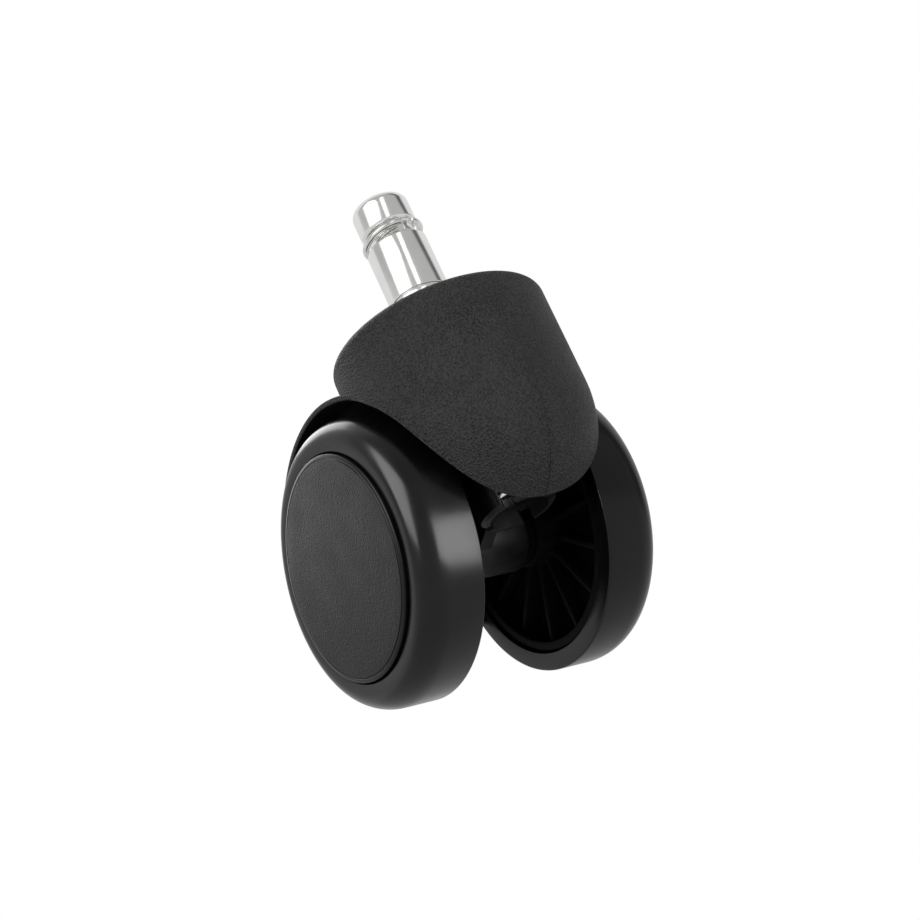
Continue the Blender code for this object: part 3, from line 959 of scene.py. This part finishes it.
# ---------------------------------------------------------------- housing
@dataclass
class Housing:
    """Hood, fender, web, socket boss and axle barrel in one moulding.

    Starts, ends and turns are angles in degrees: the fender's and the web's about the
    axle, the seam's about the middle of the nose's rounding.
    """

    layout: Layout
    body: str = "swivel_body"
    fillet: float = 1.8 * MM
    wall: float = 2.2 * MM
    dish_depth: float = 2.4 * MM
    dish_lip: float = 2.6 * MM
    dish_slope: float = 1.44 * MM
    dish_rim: float = 0.72 * MM
    nose_start: float = 12.0 * MM
    nose_depth: float = 18.6 * MM
    nose_width: float = 15.4 * MM
    arch_gap: float = 2.8 * MM
    fender_thickness: float = 1.0 * MM
    fender_half_width: float = 19.8 * MM
    fender_edge: float = 0.3 * MM
    fender_start: float = 38.0
    fender_end: float = 190.0
    taper: float = 0.035
    taper_angle: float = 45.0
    web_thickness: float = 2.6 * MM
    web_start: float = -8.0
    web_end: float = 150.0
    web_root: float = 5.85 * MM
    web_lift: float = 0.4 * MM
    barrel_radius: float = 6.5 * MM
    barrel_half: float = 9.2 * MM
    boss_top_radius: float = 8.6 * MM
    boss_end_radius: float = 6.6 * MM
    boss_below_axle: float = 4.4 * MM
    boss_setback: float = 1.2 * MM
    boss_lip: float = 0.5 * MM
    boss_flare: float = 0.1 * MM
    slot_turn: float = 45.0
    slot_width: float = 2.0 * MM
    slot_depth: float = 2.6 * MM
    bush_radius: float = 5.0 * MM
    press: float = 0.3 * MM
    seam_width: float = 0.22 * MM
    seam_proud: float = 0.08 * MM
    seam_start: float = -2.0
    seam_end: float = -72.0
    arch_skin: float = 0.08 * MM
    edge: float = 0.22 * MM
    hood_steps: int = 144
    fillet_steps: int = 10
    nose_steps: int = 40
    hollow_steps: int = 24
    arch_steps: int = 180
    fender_steps: int = 110
    web_steps: int = 60
    fine_steps: int = 72

    def build(self) -> None:
        """Build and dress the moulding and its parting line."""
        nylon = HOOD_NYLON.material()
        housing = self.moulding()
        dress(housing, nylon)
        # Faces inside the arch and the hood take this second material, darker as painted shade.
        housing.data.materials.append(SHADED_INNER_NYLON.material())
        ceiling = self.top - self.dish_depth - self.wall / 2.0
        arch = self.arch_radius
        for face in housing.data.polygons:
            face.material_index = int(self.is_inside(face, arch, ceiling))
        place_piece(housing, "housing", self.body)
        seam = self.seam()
        dress(seam, nylon)
        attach(seam, self.body)
        report(seam, "rides on " + self.body)

    @property
    def arch_radius(self) -> float:
        """Radius of the wheel arch."""
        return half_width("tyre_left") + self.arch_gap

    @property
    def radius(self) -> float:
        """Radius of the hood."""
        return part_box("housing")[1].x

    @property
    def top(self) -> float:
        """Height of the hood's rim."""
        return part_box("housing")[1].z

    @property
    def axle_z(self) -> float:
        """Height of the axle."""
        return self.layout.axle.centre.z

    @property
    def nose_middle(self) -> Point:
        """Middle of the nose's rounding, as a radius and a height."""
        return self.radius - self.nose_width, self.axle_z + self.nose_start

    def is_inside(self, face: bpy.types.MeshPolygon, arch: float, ceiling: float) -> bool:
        """Tell whether a face lies inside the arch or the hood, where the tool is plain and shade
        is painted into the colour.

        Args:
            face: A face of the moulding.
            arch: Radius of the wheel arch.
            ceiling: Height below which the hood's inside starts.

        Returns:
            True for a plain inner face, which gets painted shade.
        """
        place = face.center - self.layout.axle.centre
        if math.hypot(place.x, place.z) < arch + self.arch_skin:
            return True
        outward = face.normal.x * face.center.x + face.normal.y * face.center.y
        return outward < 0.0 and face.center.z < ceiling

    def moulding(self) -> bpy.types.Object:
        """Join and cut the moulding's shapes.

        Returns:
            The moulding.
        """
        stem = self.layout.stem
        axle = self.layout.axle
        reach = self.radius * 2.0
        half = self.barrel_half
        housing = stem.turned("housing_fine", self.hood_outline(), self.hood_steps)
        combine(housing, Join.CUT, self.hollows())
        arch = axle.rod("arch", self.arch_radius, -reach, reach, self.arch_steps)
        combine(housing, Join.CUT, [arch])
        boss = self.boss()
        barrel = axle.rod("barrel", self.barrel_radius, -half, half, self.fine_steps)
        rounded(barrel, self.edge)
        combine(housing, Join.ADD, [self.fender(), self.web(), boss, barrel])
        bush = self.bush_radius + self.press
        socket = stem.rod("socket", bush, self.axle_z - reach, 0.0, self.fine_steps)
        pin = axle.rod("pin", half_width("axle") + self.press, -reach, reach, self.fine_steps)
        combine(housing, Join.CUT, [socket, pin, *self.slots()])
        return housing

    def hood_outline(self) -> list[Point]:
        """Give the hood's outer outline.

        Returns:
            The outline from the middle of the dished top to the tip of the nose.
        """
        top = self.top
        dish = self.radius - self.dish_lip
        floor = top - self.dish_depth
        fillet = (self.radius - self.fillet, top - self.fillet)
        nose = (self.nose_width, self.nose_depth)
        outline = [(0.0, floor), (dish - self.dish_slope, floor)]
        outline += [(dish, top - self.dish_rim), (dish + self.dish_rim, top)]
        outline += arc(fillet, (self.fillet, self.fillet), 90.0, 0.0, self.fillet_steps)
        outline += arc(self.nose_middle, nose, 0.0, -90.0, self.nose_steps)
        outline.append((0.0, self.nose_middle[1] - self.nose_depth))
        return outline

    def seam(self) -> bpy.types.Object:
        """Lay the tool's parting line down the nose as a hair-fine raised strip.

        Returns:
            The strip, sunk by half its thickness.
        """
        nose = (self.nose_width, self.nose_depth)
        outline = arc(self.nose_middle, nose, self.seam_start, self.seam_end, self.nose_steps)
        side = LEFT * self.seam_width / 2.0
        strip = drawn("parting_line", [NOSE * x + UP * z - side for x, z in outline])
        bpy.ops.mesh.select_all(action="SELECT")
        bpy.ops.mesh.extrude_region_move(TRANSFORM_OT_translate={"value": LEFT * self.seam_width})
        face_out()
        stop_editing()
        return shaped(strip, "SOLIDIFY", thickness=self.seam_proud * 2.0, offset=0.0)

    def hollows(self) -> list[bpy.types.Object]:
        """Model the two hollows inside the hood, one on each side of the web.

        Returns:
            The left and the right hollow, guide shapes for boolean work.
        """
        ceiling = self.top - self.dish_depth - self.wall
        nose = (self.nose_width - self.wall, self.nose_depth - self.wall)
        outline = [(0.0, ceiling), (self.radius - self.wall, ceiling)]
        outline += arc(self.nose_middle, nose, 0.0, -90.0, self.hollow_steps)
        outline.append((0.0, self.nose_middle[1] - nose[1]))
        left = self.layout.stem.turned("hollow_left", outline, self.hood_steps)
        start_editing(left)
        bpy.ops.mesh.bisect(
            plane_co=LEFT * self.web_thickness / 2.0,
            plane_no=LEFT,
            use_fill=True,
            clear_inner=True,
        )
        face_out()
        stop_editing()
        return [left, mirrored(left, "hollow_right")]

    def fender(self) -> bpy.types.Object:
        """Sweep the fender's rounded strip section round the axle.

        Returns:
            The fender.
        """
        axle = self.layout.axle
        start = math.radians(self.fender_start)
        out = Vector((math.cos(start), 0.0, math.sin(start)))
        select_only()
        bpy.ops.mesh.primitive_plane_add(
            size=1.0,
            location=axle.centre + out * (self.arch_radius + self.fender_thickness / 2.0),
            rotation=(0.0, -start, 0.0),
        )
        bpy.context.object.scale = (self.fender_thickness, self.fender_half_width * 2.0, 1.0)
        strip = settle("fender")
        start_editing(strip)
        bpy.ops.mesh.bevel(offset=self.fender_edge, segments=3, affect="VERTICES")
        bpy.ops.mesh.select_all(action="SELECT")
        bpy.ops.mesh.spin(
            steps=self.fender_steps,
            angle=math.radians(self.fender_end - self.fender_start),
            center=axle.centre,
            axis=LEFT,
        )
        face_out()
        self.narrow(strip)
        stop_editing()
        return strip

    def narrow(self, strip: bpy.types.Object) -> None:
        """Bring the fender's front end in, so that it leaves the hood's side smoothly.

        Args:
            strip: The fender, in edit mode.
        """
        centre = self.layout.axle.centre
        mesh = bmesh.from_edit_mesh(strip.data)
        for corner in mesh.verts:
            place = corner.co - centre
            angle = math.degrees(math.atan2(place.z, place.x)) % 360.0
            share = min(1.0, max(0.0, (angle - self.fender_start) / self.taper_angle))
            share = share * share * (3.0 - 2.0 * share)
            corner.co.y *= 1.0 - self.taper * (1.0 - share)
        bmesh.update_edit_mesh(strip.data)

    def web(self) -> bpy.types.Object:
        """Draw the middle plate's outline and give it its thickness.

        Returns:
            The web.
        """
        axle = self.layout.axle
        trail = -axle.centre.x
        radius = self.arch_radius + self.fender_thickness / 2.0
        low = -self.boss_below_axle + self.slot_depth + self.web_lift
        outline = arc((0.0, 0.0), (radius, radius), self.web_start, self.web_end, self.web_steps)
        outline += [
            (-self.web_root, 0.0),
            (0.0, -self.web_root),
            (trail - self.boss_end_radius, low),
            (trail + self.boss_end_radius, low),
        ]
        side = axle.centre - LEFT * self.web_thickness / 2.0
        plate = drawn("web", [side + NOSE * x + UP * z for x, z in outline])
        bpy.ops.mesh.select_all(action="SELECT")
        bpy.ops.mesh.edge_face_add()
        thickness = LEFT * self.web_thickness
        bpy.ops.mesh.extrude_region_move(TRANSFORM_OT_translate={"value": thickness})
        face_out()
        stop_editing()
        return plate

    def boss(self) -> bpy.types.Object:
        """Turn the tapered boss that holds the socket bush.

        Returns:
            The boss, still without its bore.
        """
        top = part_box("socket_bush")[1].z - self.boss_setback
        end = self.axle_z - self.boss_below_axle
        outline = [
            (0.0, top),
            (self.boss_top_radius, top),
            (self.boss_end_radius + self.boss_flare, end + self.boss_lip),
            (self.boss_end_radius - self.boss_lip, end),
            (0.0, end),
        ]
        return self.layout.stem.turned("boss", outline, self.fine_steps)

    def slots(self) -> list[bpy.types.Object]:
        """Model the two crossed slots that split the boss's end into four.

        Returns:
            The slots, guide shapes for boolean work.
        """
        made = []
        for i in range(2):
            select_only()
            bpy.ops.mesh.primitive_cube_add(
                size=1.0,
                location=(0.0, 0.0, self.axle_z - self.boss_below_axle),
                rotation=(0.0, 0.0, math.radians(self.slot_turn + 90.0 * i)),
            )
            length = self.boss_top_radius * 2.0
            bpy.context.object.scale = (length, self.slot_width, self.slot_depth * 2.0)
            made.append(settle("slot_%d" % i))
        return made


# ---------------------------------------------------------------- axle
@dataclass
class AxleSet:
    """Axle, thrust washers, push nuts and the stem's socket bush."""

    body: str = "swivel_body"

    def build(self) -> None:
        """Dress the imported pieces, which sit behind the caps and inside the hubs."""
        zinc = ZINC.material()
        acetal = ACETAL.material()
        spring = SPRING.material()
        finishes = {"axle": zinc, "socket_bush": acetal}
        for side in ("left", "right"):
            finishes["axle_washer_" + side] = acetal
            finishes["hub_bush_" + side] = acetal
            finishes["push_nut_" + side] = spring
        dress_nodes(finishes)


# ---------------------------------------------------------------- wheels
@dataclass
class Wheels:
    """Both wheels: a ribbed core, a tyre over its rim and a cover cap."""

    layout: Layout
    tread_inner: float = 12.6 * MM
    tread_outer: float = 19.1 * MM
    shoulder_width: float = 4.9 * MM
    shoulder_drop: float = 3.6 * MM
    tread_edge: float = 0.35 * MM
    hub_radius: float = 6.2 * MM
    hub_bore: float = 4.6 * MM
    disc_inner: float = 17.6 * MM
    disc_thickness: float = 1.8 * MM
    rim_wall: float = 1.6 * MM
    rib_count: int = 14
    rib_phase: float = 0.5
    rib_thickness: float = 1.0 * MM
    rib_setback: float = 2.0 * MM
    ledge_width: float = 2.6 * MM
    ledge_thickness: float = 1.2 * MM
    cap_edge: float = 24.5 * MM
    cap_border: float = 0.9 * MM
    cap_border_rise: float = 0.25 * MM
    cap_crown: float = 0.5 * MM
    groove_width: float = 0.3 * MM
    groove_depth: float = 0.2 * MM
    groove_drop: float = 0.05 * MM
    cap_thickness: float = 1.8 * MM
    skirt_wall: float = 1.2 * MM
    skirt_length: float = 2.4 * MM
    play: float = 0.3 * MM
    core_rounding: float = 0.2 * MM
    tyre_rounding: float = 0.15 * MM
    cap_rounding: float = 0.12 * MM
    shoulder_steps: int = 24
    tread_edge_steps: int = 4
    crown_steps: int = 8
    steps: int = 160

    def build(self) -> None:
        """Build the left wheel's pieces, copy them to the right and dress them."""
        # The hood's nylon from a finer tool: a lower grain, and a plain border round it.
        # Like the hood, its grain's tops carry painted highlight and its pits painted shade; the
        # plain border gets none and shows darker.
        cap_finish = BorderedCap(
            "grained_cap_nylon", "#030303", "#121213", 0.42, 0.54, ior=1.45, shine=0.23,
            patch=7.0 * MM, grain=0.3 * MM, relief=0.09 * MM, centre=self.layout.axle.centre,
            border_start=self.cap_radius - self.cap_border,
        )
        rows = (
            ("wheel_core", self.core(), "core_nylon", CORE_NYLON.material()),
            ("tyre", self.tyre(), "gloss_tread", TYRE.material()),
            ("wheel_cap", self.cap(), "textured_cap", cap_finish.material()),
        )
        for name, left, slot, material in rows:
            right = mirrored(left, name + "_right_fine")
            for side, piece in (("left", left), ("right", right)):
                dress(piece, material)
                place_piece(piece, name + "_" + side, side + "_wheel")

    @property
    def radius(self) -> float:
        """Radius of the tyre's tread."""
        return half_width("tyre_left")

    @property
    def cap_radius(self) -> float:
        """Radius of the cover cap."""
        return half_width("wheel_cap_left")

    @property
    def rim_radius(self) -> float:
        """Radius of the core's rim under the tyre."""
        return half_width("wheel_core_left")

    @property
    def rim_top(self) -> float:
        """Outer face of the core's rim, from the middle plane."""
        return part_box("wheel_core_left")[1].y

    def core(self) -> bpy.types.Object:
        """Turn the core's hub, disc and rim and add its ribs.

        Returns:
            The left core.
        """
        rim_inner = self.rim_radius - self.rim_wall
        rim_start = self.tread_inner + self.play * 2.0
        ledge = self.rim_radius - self.ledge_width
        hub_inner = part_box("wheel_core_left")[0].y
        disc_outer = self.disc_inner + self.disc_thickness
        outline = [
            (ledge, self.rim_top),
            (self.rim_radius, self.rim_top),
            (self.rim_radius, rim_start),
            (rim_inner, rim_start),
            (rim_inner, self.disc_inner),
            (self.hub_radius, self.disc_inner),
            (self.hub_radius, hub_inner),
            (self.hub_bore, hub_inner),
            (self.hub_bore, disc_outer),
            (rim_inner, disc_outer),
            (rim_inner, self.rim_top - self.ledge_thickness),
            (ledge, self.rim_top - self.ledge_thickness),
            (ledge, self.rim_top),
        ]
        core = self.layout.axle.turned("wheel_core_left_fine", outline, self.steps)
        rounded(core, self.core_rounding, segments=2)
        return combine(core, Join.ADD, [self.ribs()])

    def ribs(self) -> bpy.types.Object:
        """Model one radial rib and spin copies of it round the hub.

        Returns:
            All the ribs as one piece.
        """
        axle = self.layout.axle
        start = self.hub_radius - self.play
        end = self.rim_radius - self.rim_wall + self.play
        low = self.tread_inner + self.rib_setback
        high = self.disc_inner + self.play
        pitch = math.tau / self.rib_count
        angle = pitch * self.rib_phase
        out = Vector((math.cos(angle), 0.0, math.sin(angle)))
        select_only()
        bpy.ops.mesh.primitive_cube_add(
            size=1.0,
            location=axle.centre + out * (start + end) / 2.0 + LEFT * (low + high) / 2.0,
            rotation=(0.0, -angle, 0.0),
        )
        bpy.context.object.scale = (end - start, high - low, self.rib_thickness)
        ribs = rounded(settle("ribs"), self.core_rounding, segments=2)
        start_editing(ribs)
        bpy.ops.mesh.spin(
            steps=self.rib_count - 1,
            angle=pitch * (self.rib_count - 1),
            center=axle.centre,
            axis=-LEFT,
            dupli=True,
        )
        face_out()
        stop_editing()
        return ribs

    def tyre(self) -> bpy.types.Object:
        """Turn the tyre: flat tread, sharp inner edge and a big round outer shoulder.

        Returns:
            The left tyre.
        """
        bore = self.rim_radius + self.play
        lip_radius = self.cap_radius + self.play
        lip_start = self.tread_outer + self.shoulder_width
        edge = self.tread_edge
        outline = [(lip_radius, lip_start)]
        outline += arc(
            (self.radius - self.shoulder_drop, self.tread_outer),
            (self.shoulder_drop, self.shoulder_width),
            90.0,
            0.0,
            self.shoulder_steps,
        )
        corner = (self.radius - edge, self.tread_inner + edge)
        outline += arc(corner, (edge, edge), 0.0, -90.0, self.tread_edge_steps)
        outline += [
            (bore, self.tread_inner),
            (bore, self.rim_top + self.play),
            (lip_radius, self.rim_top + self.play),
            (lip_radius, lip_start),
        ]
        tyre = self.layout.axle.turned("tyre_left_fine", outline, self.steps)
        return rounded(tyre, self.tyre_rounding, angle=50.0)

    def cap(self) -> bpy.types.Object:
        """Turn the cap: slightly domed face, sloped border, rim and snap skirt.

        Returns:
            The left cap.
        """
        under = self.cap_edge - self.cap_thickness
        skirt = self.rim_radius - self.ledge_width - self.play
        skirt_end = under - self.skirt_length
        face = self.cap_edge + self.cap_border_rise
        crown = self.cap_crown - self.cap_border_rise
        inner = self.cap_radius - self.cap_border
        shares = [i / self.crown_steps for i in range(self.crown_steps + 1)]
        outline = [(inner * share, face + crown * (1.0 - share**2)) for share in shares]
        outline += [
            (inner + self.groove_width / 2.0, face - self.groove_depth),
            (inner + self.groove_width, face - self.groove_drop),
            (self.cap_radius, self.cap_edge),
            (self.cap_radius, under),
            (skirt, under),
            (skirt, skirt_end),
            (skirt - self.skirt_wall, skirt_end),
            (skirt - self.skirt_wall, under),
            (0.0, under),
        ]
        cap = self.layout.axle.turned("wheel_cap_left_fine", outline, self.steps)
        return rounded(cap, self.cap_rounding, angle=40.0)


# ---------------------------------------------------------------- studio
class Lit(Enum):
    """Groups of pieces that a light is kept to, by the starts of their names."""

    METAL = ("stem", "grip_ring")
    PLASTIC = ("housing", "parting", "tyre", "wheel", "axle", "socket", "hub", "push")
    CAP = ("wheel_cap_right",)
    NEAR = ("housing", "parting", "tyre_right", "wheel_cap", "wheel_core_right")


@dataclass(frozen=True)
class SoftBox:
    """A soft light, placed by the camera's own directions.

    Attributes:
        name: The light's name.
        azimuth: Degrees to the camera's right of the line from object to camera.
        elevation: Degrees above that line.
        width: Degrees that it spans sideways, seen from the object.
        height: Degrees that it spans upwards.
        radiance: Its brightness; the white surroundings are 1.
        lights: The pieces that it lights; it is kept off the others.
        distance: How far it hangs from the object's middle.
    """

    name: str
    azimuth: float
    elevation: float
    width: float
    height: float
    radiance: float
    lights: Lit
    distance: float = 0.8


@dataclass
class Studio:
    """Camera, pale floor, white surroundings and soft boxes.

    Attributes:
        camera_place: Where the camera stands.
        ahead: The way that it looks.
        rightward: The way that its right-hand side points.
        lens: Its focal length in millimetres on a frame of sensor_width.
        floor_drop: How far the floor lies below the stem's shoulder.
        floor_size: The floor's diameter.
        floor_inset: Width of the floor's outer ring of faces.
        floor_glow: Strength of the floor's own light, which keeps it pale.
        upper: Brightness of the surroundings above the camera's line, as a light.
        lower: Their brightness below it.
        height_span: Where the lower brightness gives way to the upper one.
        backdrop: Their brightness behind the object.
        backdrop_span: Where the backdrop rises, from its edge inwards.
        edge_shift: How far the backdrop's edge moves out from left to right.
        edge_side: Where it moves, between the left and the right.
        gap_depth: How dark the gap between room and backdrop gets on the right.
        gap_span: Where the gap darkens, from the side towards the back.
        gap_side: Where it darkens, from the middle towards the right.
        boxes: The soft boxes.
    """

    camera_place: Vector = Vector((0.2717, -0.1984, -0.1591))
    ahead: Vector = Vector((-0.762, 0.538, 0.362))
    rightward: Vector = Vector((0.402, 0.830, -0.387))
    lens: float = 83.73
    sensor_width: float = 36.0
    floor_drop: float = 0.45
    floor_size: float = 6.0
    floor_inset: float = 0.6
    floor_glow: float = 0.2
    upper: float = 0.45
    lower: float = 0.82
    height_span: Point = (-0.5, 0.1)
    backdrop: float = 0.75
    backdrop_span: Point = (0.1, 0.27)
    edge_shift: float = 0.25
    edge_side: Point = (-0.2, 0.2)
    gap_depth: float = 0.75
    gap_span: Point = (0.08, 0.22)
    gap_side: Point = (0.0, 0.3)
    boxes: tuple[SoftBox, ...] = (
        SoftBox("key_box", -54.0, 24.0, 48.0, 52.0, 6.0, Lit.PLASTIC),
        SoftBox("window_box", 56.0, 8.0, 42.0, 44.0, 7.6, Lit.NEAR),
        SoftBox("rim_box", -150.0, 24.0, 34.0, 34.0, 2.8, Lit.PLASTIC),
        SoftBox("stem_key_box", -53.0, 26.0, 42.0, 54.0, 1.05, Lit.METAL),
        SoftBox("stem_strip", 1.0, 54.0, 11.0, 34.0, 1.05, Lit.METAL),
        SoftBox("cap_kicker", -122.0, 6.0, 36.0, 60.0, 1.3, Lit.CAP, 0.08),
    )

    def build(self) -> None:
        """Set up the whole studio."""
        self.camera()
        self.floor()
        self.surroundings()
        for box in self.boxes:
            self.light(box)
        bpy.context.scene.view_settings.view_transform = "Standard"

    def axes(self) -> tuple[Vector, Vector, Vector]:
        """Work out the camera's own directions.

        Returns:
            Its right, up and backward directions.
        """
        back = -self.ahead.normalized()
        right = (self.rightward - back * self.rightward.dot(back)).normalized()
        return right, back.cross(right), back

    def camera(self) -> None:
        """Set the camera at the product view."""
        right, up, back = self.axes()
        data = bpy.data.cameras.new("camera")
        data.lens = self.lens
        data.sensor_width = self.sensor_width
        data.clip_start = 0.01
        data.clip_end = 20.0
        camera = bpy.data.objects.new("camera", data)
        bpy.context.scene.collection.objects.link(camera)
        turn = Matrix((right, up, back)).transposed().to_4x4()
        camera.matrix_world = Matrix.Translation(self.camera_place) @ turn
        bpy.context.scene.camera = camera

    def floor(self) -> None:
        """Add the pale floor, a broad disc well below the object."""
        select_only()
        bpy.ops.mesh.primitive_circle_add(
            vertices=96,
            radius=self.floor_size / 2.0,
            fill_type="NGON",
            location=-UP * self.floor_drop,
        )
        floor = settle("floor")
        start_editing(floor)
        bpy.ops.mesh.inset(thickness=self.floor_inset)
        stop_editing()
        # Matt painted board: an even pale grey, with a little light of its own.
        made = bpy.data.materials.new("pale_floor")
        made.use_nodes = True
        tree = made.node_tree
        place = add_node(tree, "ShaderNodeTexCoord", {}).outputs["Object"]
        cloud = add_node(tree, "ShaderNodeTexNoise", {"Vector": place, "Scale": 3.0}).outputs["Fac"]
        colour = add_node(
            tree,
            "ShaderNodeMix",
            {"Factor": cloud, "A": linear("#e4e4e4"), "B": linear("#e8e8e8")},
            data_type="RGBA",
        )
        shader = tree.nodes["Principled BSDF"]
        tree.links.new(colour.outputs["Result"], shader.inputs["Base Color"])
        shader.inputs["Roughness"].default_value = 0.8
        shader.inputs["Emission Color"].default_value = linear("#f6f6f6")
        shader.inputs["Emission Strength"].default_value = self.floor_glow
        floor.data.materials.append(made)
        floor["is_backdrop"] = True

    def surroundings(self) -> None:
        """Make the world: white to look at, and grey above and white below as a light."""
        world = bpy.data.worlds.new("studio")
        bpy.context.scene.world = world
        world.use_nodes = True
        tree = world.node_tree
        tree.nodes.clear()
        way = add_node(tree, "ShaderNodeTexCoord", {}).outputs["Generated"]
        right, up, back = self.axes()
        side, height, depth = (
            add_node(
                tree, "ShaderNodeVectorMath", {0: way, 1: axis}, operation="DOT_PRODUCT"
            ).outputs["Value"]
            for axis in (right, up, -back)
        )
        room, deep, aside, shift = (
            add_node(
                tree,
                "ShaderNodeMapRange",
                {"Value": value, "From Min": low, "From Max": high, "To Min": start, "To Max": end},
            ).outputs["Result"]
            for value, (low, high), start, end in (
                (height, self.height_span, self.lower, self.upper),
                (depth, self.gap_span, 0.0, self.gap_depth),
                (side, self.gap_side, 0.0, 1.0),
                (side, self.edge_side, 0.0, self.edge_shift),
            )
        )
        gap = add_node(
            tree, "ShaderNodeMath", {0: deep, 1: aside}, operation="MULTIPLY"
        ).outputs["Value"]
        left_over = add_node(
            tree, "ShaderNodeMath", {0: 1.0, 1: gap}, operation="SUBTRACT"
        ).outputs["Value"]
        room = add_node(
            tree, "ShaderNodeMath", {0: room, 1: left_over}, operation="MULTIPLY"
        ).outputs["Value"]
        edge = add_node(
            tree, "ShaderNodeMath", {0: depth, 1: shift}, operation="SUBTRACT"
        ).outputs["Value"]
        low, high = self.backdrop_span
        backdrop = add_node(
            tree,
            "ShaderNodeMapRange",
            {"Value": edge, "From Min": low, "From Max": high, "To Max": self.backdrop},
        ).outputs["Result"]
        glow = add_node(
            tree, "ShaderNodeMath", {0: room, 1: backdrop}, operation="MAXIMUM"
        ).outputs["Value"]
        lit, seen = (
            add_node(
                tree, "ShaderNodeBackground", {"Color": WHITE, "Strength": strength}
            ).outputs["Background"]
            for strength in (glow, 1.0)
        )
        ray = add_node(tree, "ShaderNodeLightPath", {}).outputs["Is Camera Ray"]
        mixed = add_node(tree, "ShaderNodeMixShader", {0: ray, 1: lit, 2: seen})
        add_node(tree, "ShaderNodeOutputWorld", {"Surface": mixed.outputs["Shader"]})

    def light(self, box: SoftBox) -> None:
        """Hang one soft box so that it faces the object.

        Args:
            box: The soft box.
        """
        right, up, back = self.axes()
        azimuth = math.radians(box.azimuth)
        elevation = math.radians(box.elevation)
        level = back * math.cos(azimuth) + right * math.sin(azimuth)
        towards = level * math.cos(elevation) + up * math.sin(elevation)
        side = up.cross(towards).normalized()
        data = bpy.data.lights.new(box.name, "AREA")
        data.shape = "RECTANGLE"
        data.size = 2.0 * box.distance * math.tan(math.radians(box.width / 2.0))
        data.size_y = 2.0 * box.distance * math.tan(math.radians(box.height / 2.0))
        data.energy = box.radiance * math.pi * data.size * data.size_y
        light = bpy.data.objects.new(box.name, data)
        bpy.context.scene.collection.objects.link(light)
        turn = Matrix((side, towards.cross(side), towards)).transposed().to_4x4()
        light.matrix_world = Matrix.Translation(object_middle() + towards * box.distance) @ turn
        light.visible_camera = False
        group = bpy.data.collections.new(box.name + "_pieces")
        for piece in bpy.context.scene.objects:
            if piece.type == "MESH" and piece.name.startswith(box.lights.value):
                group.objects.link(piece)
        light.light_linking.receiver_collection = group


def object_middle() -> Vector:
    """Give the middle of the object's box."""
    low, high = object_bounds()
    return (low + high) / 2.0


def main() -> None:
    """Build every sub-assembly and the studio."""
    logging.basicConfig(level=logging.INFO, format="%(message)s")
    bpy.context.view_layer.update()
    layout = Layout.from_frame()
    StemSet(layout).build()
    Housing(layout).build()
    AxleSet().build()
    Wheels(layout).build()
    Studio().build()


if __name__ == "__main__":
    main()
